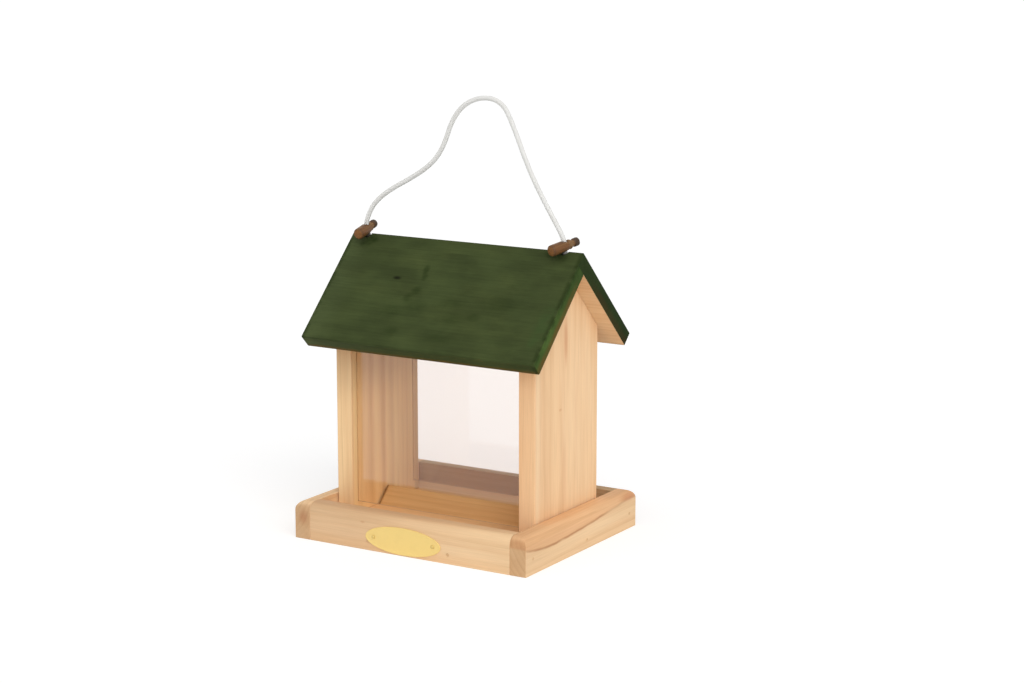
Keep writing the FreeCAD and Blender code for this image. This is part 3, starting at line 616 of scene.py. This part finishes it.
def rod(radius, start, end, sides=ROUND_SIDES):
    """A round rod from one point to another."""
    bm = bmesh.new()
    along = end - start
    bmesh.ops.create_cone(
        bm, cap_ends=True, segments=sides, radius1=radius, radius2=radius, depth=along.length,
        matrix=standing((start + end) / 2, along))
    for face in bm.faces:
        face.smooth = len(face.verts) == 4
    return bm


def turned(outline, sides=LATHE_SIDES):
    """An outline of (radius, place) points spun about Z."""
    bm = bmesh.new()
    points = [bm.verts.new((radius, 0.0, along)) for radius, along in outline]
    lines = [bm.edges.new(pair) for pair in zip(points, points[1:])]
    bmesh.ops.spin(
        bm, geom=points + lines, axis=(0, 0, 1), cent=(0, 0, 0), steps=sides, angle=2 * math.pi, use_merge=True)
    bmesh.ops.remove_doubles(bm, verts=bm.verts, dist=MERGE)
    bmesh.ops.recalc_face_normals(bm, faces=bm.faces)
    for face in bm.faces:
        face.smooth = True
    return bm


def soften(bm, width, edges=None, segments=2):
    """Rounds edges over, all sharp ones if none are given, and shades the rounding smooth."""
    if edges is None:
        edges = [edge for edge in bm.edges if edge.is_manifold and edge.calc_face_angle() > SHARP]
    made = bmesh.ops.bevel(
        bm, geom=edges, offset=width, offset_type="OFFSET", affect="EDGES", segments=segments, profile=0.5,
        material=-1, clamp_overlap=True)
    for face in made["faces"]:
        face.smooth = True


def object_of(name, bm):
    """Turns a bmesh into an object of the scene."""
    mesh = bpy.data.meshes.new(name)
    bm.to_mesh(mesh)
    bm.free()
    made = bpy.data.objects.new(name, mesh)
    bpy.context.scene.collection.objects.link(made)
    return made


def scrap(*items):
    """Removes helper objects and their data."""
    for item in items:
        data = item.data
        bpy.data.objects.remove(item)
        if isinstance(data, bpy.types.Mesh):
            bpy.data.meshes.remove(data)
        else:
            bpy.data.curves.remove(data)


def carve(bm, *cutters):
    """Takes the cutters out of a shape, one after the other."""
    for cutter in cutters:
        blank = object_of("blank", bm)
        tool = object_of("tool", cutter)
        cut = blank.modifiers.new("cut", "BOOLEAN")
        cut.operation = "DIFFERENCE"
        cut.solver = "EXACT"
        cut.object = tool
        result = bpy.data.meshes.new_from_object(blank.evaluated_get(bpy.context.evaluated_depsgraph_get()))
        bm = bmesh.new()
        bm.from_mesh(result)
        bpy.data.meshes.remove(result)
        scrap(blank, tool)
    bmesh.ops.dissolve_degenerate(bm, dist=MERGE, edges=bm.edges)
    return bm


def joined(shapes):
    """One bmesh of several."""
    bm = bmesh.new()
    for shape in shapes:
        mesh = bpy.data.meshes.new("part")
        shape.to_mesh(mesh)
        shape.free()
        bm.from_mesh(mesh)
        bpy.data.meshes.remove(mesh)
    return bm


def finished(name, bm, materials, body, slot, *nodes):
    """The object for a finished piece, on its body and in place of its solids."""
    made = object_of(name, bm)
    for material in materials:
        made.data.materials.append(material)
    if body:
        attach(made, body)
    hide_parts(*nodes)
    return made


class FEEDER_OT_stage(bpy.types.Operator):
    """Makes the floor, the light and the camera"""

    bl_idname = "feeder.stage"
    bl_label = "Stage"

    def execute(self, context):
        scene = context.scene
        hues = scene.feeder_colours
        scene.view_settings.view_transform = "Standard"
        floor = bmesh.new()
        bmesh.ops.create_grid(floor, x_segments=1, y_segments=1, size=FLOOR_HALF)
        floor = object_of("floor", floor)
        paint = Finish("pale_floor")
        paint.feed(paint.shader, {
            "Base Color": paint.blended(self.seen(paint, 0.0, 1.0), hues.floor, scaled(hues.floor, FLOOR_TONE)),
            "Roughness": 0.9, "Specular IOR Level": 0.0,
            "Emission Color": WHITE, "Emission Strength": self.seen(paint, 0.0, FLOOR_GLOW)})
        floor.data.materials.append(paint.material)

        world = bpy.data.worlds.new("studio")
        scene.world = world
        world.use_nodes = True
        paint = Paint(world.node_tree)
        frontal = paint.vector("DOT_PRODUCT", paint.place("Generated"), tuple(Vector(SKY_FRONT).normalized()))
        sky = self.seen(paint, paint.fade(frontal, -1.0, 1.0, *SKY_STRENGTHS), 1.0)
        paint.feed(paint.tree.nodes["Background"], {"Strength": sky, "Color": WHITE})

        for name, way, strength in LAMPS:
            lamp = bpy.data.lights.new(name, "SUN")
            lamp.energy = strength
            lamp.angle = LAMP_SPREAD
            holder = bpy.data.objects.new(name, lamp)
            scene.collection.objects.link(holder)
            holder.rotation_euler = Vector(way).to_track_quat("Z", "Y").to_euler()

        lens = bpy.data.cameras.new("camera")
        lens.sensor_width = CAMERA_SENSOR
        lens.lens = CAMERA_LENS
        lens.clip_end = 100.0
        camera = bpy.data.objects.new("camera", lens)
        scene.collection.objects.link(camera)
        camera.location = CAMERA_PLACE
        aim = Vector(CAMERA_AIM) - camera.location
        camera.rotation_euler = aim.to_track_quat("-Z", "Y").to_euler()
        scene.camera = camera
        return {"FINISHED"}

    def seen(self, paint, lighting, looked_at):
        """One strength for lighting the feeder, another for what is looked at, mirrored or seen through glass."""
        path = paint.put("ShaderNodeLightPath").outputs
        rays = paint.number("ADD", path["Is Camera Ray"], path["Is Glossy Ray"])
        rays = paint.number("ADD", rays, path["Is Transmission Ray"], clamp=True)
        return paint.fade(rays, 0.0, 1.0, lighting, looked_at)


def route_line(points, name):
    """Points along a smooth line through the neighbourhood of a route's points."""
    curve = bpy.data.curves.new(name, "CURVE")
    curve.dimensions = "3D"
    curve.resolution_u = 32
    spline = curve.splines.new("NURBS")
    spline.points.add(len(points) - 1)
    for knot, point in zip(spline.points, points):
        knot.co = (*point, 1.0)
    spline.order_u = 3
    spline.use_endpoint_u = True
    holder = bpy.data.objects.new(name, curve)
    bpy.context.scene.collection.objects.link(holder)
    mesh = bpy.data.meshes.new_from_object(holder)
    line = [vertex.co.copy() for vertex in mesh.vertices]
    bpy.data.meshes.remove(mesh)
    scrap(holder)
    return line


def even_points(line, step):
    """The same line with points at even steps, and the step."""
    reach = [0.0]
    for first, second in zip(line, line[1:]):
        reach.append(reach[-1] + (second - first).length)
    count = max(2, round(reach[-1] / step))
    points = []
    part = 0
    for index in range(count + 1):
        wanted = reach[-1] * index / count
        while part < len(line) - 2 and reach[part + 1] < wanted:
            part += 1
        span = reach[part + 1] - reach[part]
        points.append(line[part].lerp(line[part + 1], (wanted - reach[part]) / span))
    return points, reach[-1] / count


def tube_along(bm, rows):
    """A closed tube through rows of points, with a map of its length and girth."""
    sides = len(rows[0])
    uv = bm.loops.layers.uv.verify()
    made = bmesh.ops.create_grid(bm, x_segments=sides, y_segments=len(rows) - 1, size=1.0, calc_uvs=True)
    grid = sorted(made["verts"], key=lambda vert: (round(vert.co.y, 6), round(vert.co.x, 6)))
    for index, vert in enumerate(grid):
        row, column = divmod(index, sides + 1)
        vert.co = rows[row][column % sides]
    for face in {face for vert in made["verts"] for face in vert.link_faces}:
        face.smooth = True
        for loop in face.loops:
            loop[uv].uv.y *= len(rows) / sides
    seam = [vert for index, vert in enumerate(grid) if index % (sides + 1) in (0, sides)]
    bmesh.ops.remove_doubles(bm, verts=seam, dist=0.1 * MERGE)


def braid(points, step, sizes, squeeze=1.0):
    """Strands that wind both ways round a line, over and under each other, on a core."""
    bm = bmesh.new()
    thick = sizes.strand_thick / 2
    winding = sizes.cord_dia / 2 - thick - WEAVE
    pitch = sizes.cord_pitch / squeeze
    frames = []
    for index, point in enumerate(points):
        before = points[max(index - 1, 0)]
        after = points[min(index + 1, len(points) - 1)]
        along = (after - before).normalized()
        out = along.cross(Vector((0.0, 1.0, 0.0))).normalized()
        frames.append((point, along, out, out.cross(along)))
    core = winding - CORE_GAP
    turns = [2 * math.pi * corner / CORE_SIDES for corner in range(CORE_SIDES)]
    tube_along(bm, [
        [point + core * (math.cos(turn) * out + math.sin(turn) * across) for turn in turns]
        for point, along, out, across in frames])
    for hand in (-1, 1):
        for strand in range(STRANDS):
            rows = []
            for index, (point, along, out, across) in enumerate(frames):
                run = index * step
                turn = 2 * math.pi * (strand / STRANDS + hand * run / pitch)
                radial = math.cos(turn) * out + math.sin(turn) * across
                round_way = -math.sin(turn) * out + math.cos(turn) * across
                lean = hand * 2 * math.pi * winding / pitch
                side = (round_way - lean * along).normalized()
                height = winding + hand * WEAVE * math.cos(2 * math.pi * STRANDS * run / pitch)
                centre = point + height * radial
                rows.append([
                    centre + thick * math.cos(2 * math.pi * corner / STRAND_SIDES) * radial
                    + sizes.strand_width / 2 * math.sin(2 * math.pi * corner / STRAND_SIDES) * side
                    for corner in range(STRAND_SIDES)])
            tube_along(bm, rows)
    ends = [edge for edge in bm.edges if edge.is_boundary]
    bmesh.ops.holes_fill(bm, edges=ends, sides=CORE_SIDES)
    bmesh.ops.recalc_face_normals(bm, faces=bm.faces)
    return bm


class FEEDER_OT_cord(bpy.types.Operator):
    """Makes the braided cord, its ways down into the gables and its knots"""

    bl_idname = "feeder.cord"
    bl_label = "Cord"

    def execute(self, context):
        sizes = context.scene.feeder_sizes
        yarn = braided_cord("white_braid")
        route = [Vector((x * MM, y * MM, PEAK_Z + height * MM)) for x, y, height in CORD_ROUTE]
        line = route_line(route, "cord_route")
        points, step = even_points(line, CORD_STEP)
        arch = finished("cord_arch", braid(points, step, sizes), [yarn], None, "cord", "hanging_cord")
        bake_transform(arch)

        for hand, top in (("left", route[0]), ("right", route[-1])):
            knot = middle(f"{hand}_cord_knot")
            tail = f"{hand}_cord_tail"
            foot = knot.lerp(top, (low(tail).z - knot.z) / (top.z - knot.z))
            reach = (top - foot).length
            pay_out = (reach + sizes.roof_lift) / reach
            points_down, step_down = even_points([foot, top], CORD_STEP / pay_out)
            piece = finished(
                f"{hand}_tail", braid(points_down, step_down, sizes, pay_out), [yarn], None, "cord", tail)
            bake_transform(piece)
            self.knot(hand, yarn)
        return {"FINISHED"}

    def knot(self, hand, yarn):
        """A tight overhand knot in its pocket."""
        node = f"{hand}_cord_knot"
        centre = middle(node)
        rows = []
        for index in range(KNOT_STEPS + 1):
            turn = 2 * math.pi * index / KNOT_STEPS
            places = []
            for offset in (-KNOT_NUDGE, 0.0, KNOT_NUDGE):
                t = turn + offset
                wide = KNOT_RING + KNOT_SWELL * math.cos(3 * t)
                rise = KNOT_RISE * math.sin(3 * t)
                places.append(Vector((wide * math.cos(2 * t), wide * math.sin(2 * t), rise)))
            along = (places[2] - places[0]).normalized()
            out = Vector((places[1].x, places[1].y, 0.0)).normalized()
            side = along.cross(out).normalized()
            out = side.cross(along)
            rows.append([
                centre + places[1] + KNOT_GIRTH * (math.cos(a) * out + math.sin(a) * side)
                for a in (2 * math.pi * corner / KNOT_SIDES for corner in range(KNOT_SIDES))])
        bm = bmesh.new()
        tube_along(bm, rows)
        bmesh.ops.remove_doubles(bm, verts=bm.verts, dist=MERGE)
        bmesh.ops.recalc_face_normals(bm, faces=bm.faces)
        return finished(f"{hand}_knot", bm, [yarn], "house", "cord", node)


def brad_places():
    """Each brad in the tray's sides: the middle of its head, and the way it is driven."""
    half_x = high("right_rail").x
    half_y = high("back_rail").y
    corner_y = half_y - CORNER_BRAD_INSET
    floor_z = high("tray_floor").z / 2
    corners = [
        (Vector((side * half_x, end * corner_y, CORNER_BRAD_RISE)), Vector((-side, 0, 0)))
        for side in (-1, 1) for end in (-1, 1)]
    floor = [
        (Vector((hand * FLOOR_BRAD_X, side * half_y, floor_z)), Vector((0, -side, 0)))
        for side in (-1, 1) for hand in (-1, 1)]
    floor += [(Vector((side * half_x, FLOOR_BRAD_Y, floor_z)), Vector((-side, 0, 0))) for side in (-1, 1)]
    return corners, floor


class FEEDER_OT_tray(bpy.types.Operator):
    """Makes the tray's floor and rails"""

    bl_idname = "feeder.tray"
    bl_label = "Tray"

    def execute(self, context):
        sizes = context.scene.feeder_sizes
        floor = board(low("tray_floor"), high("tray_floor"))
        soften(floor, sizes.arris)
        finished(
            "floor_board", floor, [bare_wood("floor_wood", "X", (0.06, 0.03, 0.0), tint=(1.06, 1.02, 0.92))],
            "house", "bare_wood", "tray_floor")
        heads = [place for group in brad_places() for place in group]
        for name, grain, pith, outer, more in (
                ("front_rail", "X", (0.045, 0.115, 0.3), ("-Y",), {
                    "knots": (((-0.0470, -0.0955, 0.0248), (0.0035, 0.02, 0.0013), 0.30),),
                    "ring": 0.22, "shades": (("X", 0.075, -0.075, (0.82, 0.775, 0.755)),)}),
                ("back_rail", "X", (-0.03, -0.12, 0.9), ("+Y",), {
                    # The inner side and top are darker towards the inside: painted shade
                    "shades": (("Y", 0.0968, 0.089, (0.63, 0.62, 0.595)),)}),
                ("left_rail", "Y", (0.15, 0.04, 0.5), ("-X", "-Y", "+Y"), {
                    "knots": (((-0.111, -0.0965, 0.020), (0.007, 0.01, 0.009), 0.35),),
                    "shades": (("Y", -0.088, -0.096, (0.92, 0.91, 0.92)),)}),
                ("right_rail", "Y", (-0.16, 0.05, 0.2), ("+X", "-Y", "+Y"), {
                    "ring_line": rising_ring,
                    "knots": (((0.119, 0.084, 0.0295), (0.02, 0.022, 0.0045), 0.45),)})):
            bm = board(low(name), high(name))
            bm.normal_update()
            soften(bm, sizes.rail_round, self.outer_top_edges(bm, name, outer), segments=10)
            soften(bm, sizes.arris)
            holes = []
            for place, into in heads:
                outside = place - BRAD_HOLE_CLEAR * into
                inside = place + BRAD_HOLE_CLEAR * into
                if all(low(name)[axis] < inside[axis] < high(name)[axis] for axis in range(3)):
                    holes.append(rod(BRAD_HOLE_RADIUS, outside, place + BRAD_HOLE_DEPTH * into))
            if holes:
                bm = carve(bm, *holes)
            wood = bare_wood(f"{name}_wood", grain, pith, **more)
            finished(f"{name}_board", bm, [wood], "house", "bare_wood", name)
        return {"FINISHED"}

    def outer_top_edges(self, bm, name, outer):
        """The top edges of a rail on its named outer sides."""
        found = []
        for side in outer:
            axis = "XYZ".index(side[1])
            value = high(name)[axis] if side[0] == "+" else low(name)[axis]
            found += [
                edge for edge in bm.edges
                if all(abs(vert.co[axis] - value) < NEAR and vert.co.z > high(name).z - NEAR
                       for vert in edge.verts)]
        return found


class FEEDER_OT_gables(bpy.types.Operator):
    """Makes the two gable walls"""

    bl_idname = "feeder.gables"
    bl_label = "Gables"

    def execute(self, context):
        sizes = context.scene.feeder_sizes
        for name, side, pith, marks in (
                ("left_gable", -1, (0.13, 0.02, 0.4), {
                    "stripes": (
                        ("Y", -0.0240, 0.006, 0.22), ("Y", -0.0050, 0.005, 0.20), ("Y", 0.0100, 0.005, 0.20),
                        ("Y", -0.0150, 0.005, -0.40), ("Y", 0.0025, 0.005, -0.40)),
                    "shades": (
                        # Painted shadow of the roof, darker towards the top of the wall
                        ("Z", 0.108, 0.156, (0.77, 0.76, 0.765)), ("Z", 0.172, 0.190, (0.95, 0.89, 0.82)),
                        # Painted shade by the back edge, then the front edge and the outer face brought back down
                        # from the tint below
                        ("Y", 0.045, 0.048, (0.82, 0.80, 0.80)), ("Y", -0.0500, -0.0536, (0.895, 0.857, 0.92)),
                        ("X", -0.1023, -0.1029, (0.90, 0.835, 0.93))),
                    # The tint lightens the wall: painted light on its inner face
                    "ring": 0.34, "tint": (1.17, 1.225, 1.085)}),
                ("right_gable", 1, (-0.07, 0.012, 0.1), {
                    "knots": (((0.103, -0.0108, 0.1263), (0.004, 0.0035, 0.0018), 0.30),
                              ((0.103, -0.0015, 0.186), (0.02, 0.0042, 0.030), 0.44),
                              ((0.103, -0.0040, 0.070), (0.02, 0.0065, 0.045), 0.13)),
                    "stripes": (("Y", -0.0070, 0.0080, 0.10), ("Y", -0.0494, 0.008, -0.7)),
                    "shades": (
                        ("Y", -0.0500, -0.0536, (1.0, 0.925, 0.87)),
                        # Painted shadow of the roof, darker towards the top
                        ("Z", 0.150, 0.205, (0.955, 0.945, 0.935))),
                    "ring": 0.28, "tint": (1.05, 1.02, 1.01)})):
            bottom = low(name)
            top = high(name)
            shoulder = top.z - top.y
            section = (
                (bottom.y, bottom.z), (top.y, bottom.z), (top.y, shoulder), (0.0, top.z), (bottom.y, shoulder))
            bm = prism(section, bottom.x, top.x)
            soften(bm, sizes.arris)
            inner = bottom.x if side > 0 else top.x
            cutters = []
            for window in ("front_window", "back_window"):
                play = Vector((0.0, sizes.groove_play / 2, 0.0))
                near = low(window) - play
                far = high(window) + play
                ends = sorted((inner - side * CUT_CLEAR, inner + side * sizes.groove_depth))
                cutters.append(board(
                    Vector((ends[0], near.y, near.z)), Vector((ends[1], far.y, top.z + 2 * CUT_CLEAR))))
            pocket_z = top.z - sizes.knot_drop
            start = Vector((inner - side * CUT_CLEAR, 0.0, pocket_z))
            cutters.append(rod(
                sizes.knot_pocket_dia / 2, start,
                Vector((inner + side * sizes.knot_pocket_depth, 0.0, pocket_z)), BORE_SIDES))
            knot = middle(name.replace("gable", "cord_knot"))
            mouth = Vector((CORD_ROUTE[0][0] * -side * MM, 0.0, top.z))
            cutters.append(rod(sizes.cord_hole_dia / 2, knot, knot + CORD_HOLE_REACH * (mouth - knot)))
            bm = carve(bm, *cutters)
            wood = bare_wood(f"{name}_wood", "Z", pith, **marks)
            finished(f"{name}_wall", bm, [wood], "house", "bare_wood", name)
        return {"FINISHED"}


class FEEDER_OT_windows(bpy.types.Operator):
    """Makes the two clear windows"""

    bl_idname = "feeder.windows"
    bl_label = "Windows"

    def execute(self, context):
        sizes = context.scene.feeder_sizes
        clear = clear_sheet("clear_acrylic")
        sawn = Finish("sawn_acrylic")
        # The sawn edges are brown: painted shade
        edge = (*context.scene.feeder_colours.sheet_edge_shade, 1.0)
        sawn.feed(sawn.shader, {"Base Color": edge, "Roughness": 0.6})
        for name in ("front_window", "back_window"):
            bm = board(low(name), high(name))
            soften(bm, sizes.sheet_arris)
            for face in bm.faces:
                face.material_index = int(abs(face.normal.y) < 0.98)
            finished(f"{name}_sheet", bm, [clear, sawn.material], "house", "clear_sheet", name)
        return {"FINISHED"}


class FEEDER_OT_wedge(bpy.types.Operator):
    """Makes the wedge that sheds the seed"""

    bl_idname = "feeder.wedge"
    bl_label = "Seed wedge"

    def execute(self, context):
        bottom = low("seed_wedge")
        top = high("seed_wedge")
        bm = prism(((bottom.y, bottom.z), (top.y, bottom.z), (0.0, top.z)), bottom.x, top.x)
        soften(bm, context.scene.feeder_sizes.arris)
        wood = bare_wood("wedge_wood", "X", (0.02, 0.05, 0.7), tint=(0.91, 0.885, 0.71), shades=(
            # Painted shadow in the gap at the wedge's left end
            ("X", bottom.x + 3 * MM, bottom.x + 1 * MM, (0.50, 0.40, 0.32)),))
        finished("wedge_strip", bm, [wood], "house", "bare_wood", "seed_wedge")
        return {"FINISHED"}


class FEEDER_OT_roof(bpy.types.Operator):
    """Makes the two roof boards"""

    bl_idname = "feeder.roof"
    bl_label = "Roof"

    def execute(self, context):
        sizes = context.scene.feeder_sizes
        back = (low("back_roof_board"), high("back_roof_board"))
        ridge = back[1].z
        half = math.sqrt(0.5) * sizes.roof_thick
        eave_y = back[1].y
        eave_z = ridge - eave_y
        seam = (-half, ridge - half)

        def slope_point(x, down):
            fall = half + math.sqrt(0.5) * down * MM
            return (x * MM, -fall, ridge - fall)

        smudges_and_shadows = [
            (slope_point(x, down), (long * MM, wide * MM, wide * MM), strength)
            for x, down, long, wide, strength in ROOF_SMUDGES_AND_SHADOWS]
        for name, section, side, pith, end_tone, end_shade, knots in (
                ("back_roof_board",
                 ((0.0, ridge), seam, (eave_y - half, eave_z - half), (eave_y, eave_z)),
                 1, (0.12, -0.10, 0.6), 0.37, (0.235, 0.195, (0.75, 0.78, 0.72)), ()),
                ("front_roof_board",
                 (seam, (-eave_y, eave_z), (half - eave_y, eave_z - half), (0.0, ridge - 2 * half)),
                 -1, (0.10, 0.13, 0.2), 1.0, (0.200, 0.250, (0.70, 0.74, 0.70)),
                 ((slope_point(-51.5, 31.6), (6.2 * MM, 2.6 * MM, 2.6 * MM)),))):
            bm = prism(section, back[0].x, back[1].x)
            out_way = Vector((0.0, side, 1.0)).normalized()
            level = out_way.z * (ridge - 2 * half)
            soften(bm, sizes.roof_arris, self.worn_edges(bm, seam), segments=3)
            for face in bm.faces:
                if face.normal.dot(out_way) < -0.99:
                    face.material_index = 1
            bores = []
            for hand, (shift, forward) in ROOF_HOLE_LEANS.items():
                mouth = Vector((hand * CORD_ROUTE[-1][0] * MM, 0.0, PEAK_Z))
                climb = Vector((hand * shift * MM, -forward * MM, ridge - PEAK_Z))
                bores.append(rod(sizes.roof_hole_dia / 2, mouth - climb, mouth + 2 * climb, LATHE_SIDES))
            bm = carve(bm, *bores)
            wood = green_wood(
                f"{name}_stain", pith, (tuple(out_way), level, sizes.roof_thick), end_tone, end_shade, knots,
                smudges_and_shadows)
            # The tint darkens the underside: painted shade
            under = bare_wood(f"{name}_underside", "X", pith, tint=(0.90, 0.88, 0.86))
            finished(name.replace("_board", "_slope"), bm, [wood, under], "roof", "green_wood", name)
        return {"FINISHED"}

    def worn_edges(self, bm, seam):
        """The board's sharp edges, apart from those where the two boards meet."""
        def at_seam(vert):
            return abs(vert.co.y - seam[0]) < NEAR and abs(vert.co.z - seam[1]) < NEAR

        return [edge for edge in bm.edges if edge.calc_face_angle() > SHARP and not any(map(at_seam, edge.verts))]


class FEEDER_OT_toggles(bpy.types.Operator):
    """Makes the two turned toggles that the cord goes through"""

    bl_idname = "feeder.toggles"
    bl_label = "Toggles"

    def execute(self, context):
        sizes = context.scene.feeder_sizes
        outline = [(radius * MM, along * MM) for radius, along in TOGGLE_OUTLINE]
        for node, (x, y, rise, turn, tilt, roll) in TOGGLE_PLACES.items():
            centre = Vector((x * MM, y * MM, high("back_roof_board").z + rise * MM))
            way = (
                Matrix.Rotation(-math.radians(turn), 3, "Z") @ Matrix.Rotation(math.radians(tilt), 3, "X")
                @ Matrix.Rotation(math.radians(roll), 3, "Y"))
            bm = turned(outline)
            bmesh.ops.rotate(bm, cent=(0, 0, 0), matrix=Matrix.Rotation(-math.pi / 2, 3, "X"), verts=bm.verts)
            reach = Vector((0, 0, TOGGLE_BORE))
            bm = carve(bm, rod(sizes.toggle_hole_dia / 2, -reach, reach, BORE_SIDES))
            bmesh.ops.transform(bm, matrix=Matrix.Translation(centre) @ way.to_4x4(), verts=bm.verts)
            wood = brown_wood(f"{node}_wood", centre, way.to_euler())
            finished(f"{node}_peg", bm, [wood], node, "brown_wood", node)
        return {"FINISHED"}


class FEEDER_OT_plate(bpy.types.Operator):
    """Makes the bare oval plate and its pins"""

    bl_idname = "feeder.plate"
    bl_label = "Oval plate"

    def execute(self, context):
        sizes = context.scene.feeder_sizes
        hues = context.scene.feeder_colours
        bottom = low("oval_plate")
        top = high("oval_plate")
        centre = middle("oval_plate")
        brass = metal("satin_brass", hues.brass, polish=0.35, weight=0.55, mottle=0.02)
        pin_brass = metal("pin_brass", hues.brass_pin, polish=0.35, weight=0.55, mottle=0.10)
        bm = bmesh.new()
        bmesh.ops.create_circle(bm, cap_ends=True, segments=PLATE_SIDES, radius=1.0)
        stand = Matrix.Translation((centre.x, top.y, centre.z)) @ Matrix.Rotation(math.pi / 2, 4, "X")
        flat = Matrix.Diagonal(((top.x - bottom.x) / 2, (top.z - bottom.z) / 2, 1.0, 1.0))
        bmesh.ops.transform(bm, matrix=stand @ flat, verts=bm.verts)
        draw_out(bm, bm.faces[:][0], (0.0, bottom.y - top.y, 0.0))
        bm.normal_update()
        front = [face for face in bm.faces if face.normal.y < -0.9]
        bmesh.ops.inset_region(bm, faces=front, thickness=sizes.plate_rim, depth=0.0, use_even_offset=True)
        front = [face for face in bm.faces if face.normal.y < -0.9 and len(face.verts) > 4]
        bmesh.ops.inset_region(bm, faces=front, thickness=PLATE_STEP, depth=-PLATE_DISH, use_even_offset=True)
        soften(bm, PLATE_ROUND, segments=3)
        finished("oval_plate_disc", bm, [brass], "house", "brass_plate", "oval_plate")

        heads = []
        pins = low("plate_pins"), high("plate_pins")
        head = (pins[1].z - pins[0].z) / 2
        rise = bottom.y - pins[0].y
        outline = [(radius * head, along * rise) for radius, along in PIN_HEAD]
        outline += [(radius * head, along) for radius, along in PIN_SHANK]
        for x in (pins[0].x + head, pins[1].x - head):
            pin = turned(outline, PIN_SIDES)
            bmesh.ops.transform(
                pin, verts=pin.verts,
                matrix=Matrix.Translation((x, bottom.y, centre.z)) @ Matrix.Rotation(math.pi / 2, 4, "X"))
            heads.append(pin)
        finished("plate_pin_pair", joined(heads), [pin_brass], "house", "brass_plate", "plate_pins")
        return {"FINISHED"}


class FEEDER_OT_fixings(bpy.types.Operator):
    """Makes the brads in the tray, and gives the hidden nails and screws their metal"""

    bl_idname = "feeder.fixings"
    bl_label = "Fixings"

    def execute(self, context):
        sizes = context.scene.feeder_sizes
        hues = context.scene.feeder_colours
        steel = metal("wire_steel", hues.steel, polish=0.6, weight=0.05, mottle=0.15)
        outline = [(radius * MM, along * MM) for radius, along in BRAD_OUTLINE]
        for node, places in zip(("corner_brads", "floor_brads"), brad_places()):
            made = []
            for place, into in places:
                brad = turned(outline, ROUND_SIDES)
                stand = standing(place + sizes.head_sink * into, into)
                bmesh.ops.transform(brad, matrix=stand, verts=brad.verts)
                made.append(brad)
            finished(f"{node}_driven", joined(made), [steel], "house", "steel", node)
        stained = metal("stained_steel", hues.stained_steel, polish=0.6, weight=0.1, mottle=0.3)
        for node, finish in (("gable_screws", steel), ("wedge_brads", steel), ("ridge_nails", stained)):
            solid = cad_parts[node]
            solid.data.materials.clear()
            solid.data.materials.append(finish)
        return {"FINISHED"}


OPERATORS = (
    FEEDER_OT_stage,
    FEEDER_OT_cord,
    FEEDER_OT_tray,
    FEEDER_OT_gables,
    FEEDER_OT_windows,
    FEEDER_OT_wedge,
    FEEDER_OT_roof,
    FEEDER_OT_toggles,
    FEEDER_OT_plate,
    FEEDER_OT_fixings,
)


class FEEDER_PT_panel(bpy.types.Panel):
    """Lists the feeder's pieces, sizes and colours"""

    bl_idname = "FEEDER_PT_panel"
    bl_label = "Bird feeder"
    bl_space_type = "VIEW_3D"
    bl_region_type = "UI"
    bl_category = "Feeder"

    def draw(self, context):
        for operator in OPERATORS:
            self.layout.operator(operator.bl_idname)
        for group in (context.scene.feeder_sizes, context.scene.feeder_colours):
            box = self.layout.box()
            for name in group.__annotations__:
                box.prop(group, name)


CLASSES = (FeederSizes, FeederColours, *OPERATORS, FEEDER_PT_panel)


def register():
    for item in CLASSES:
        bpy.utils.register_class(item)
    bpy.types.Scene.feeder_sizes = bpy.props.PointerProperty(type=FeederSizes)
    bpy.types.Scene.feeder_colours = bpy.props.PointerProperty(type=FeederColours)


def unregister():
    del bpy.types.Scene.feeder_colours
    del bpy.types.Scene.feeder_sizes
    for item in reversed(CLASSES):
        bpy.utils.unregister_class(item)


def main():
    register()
    bpy.ops.feeder.stage()
    bpy.ops.feeder.cord()
    bpy.ops.feeder.tray()
    bpy.ops.feeder.gables()
    bpy.ops.feeder.windows()
    bpy.ops.feeder.wedge()
    bpy.ops.feeder.roof()
    bpy.ops.feeder.toggles()
    bpy.ops.feeder.plate()
    bpy.ops.feeder.fixings()


if __name__ == "__main__":
    main()
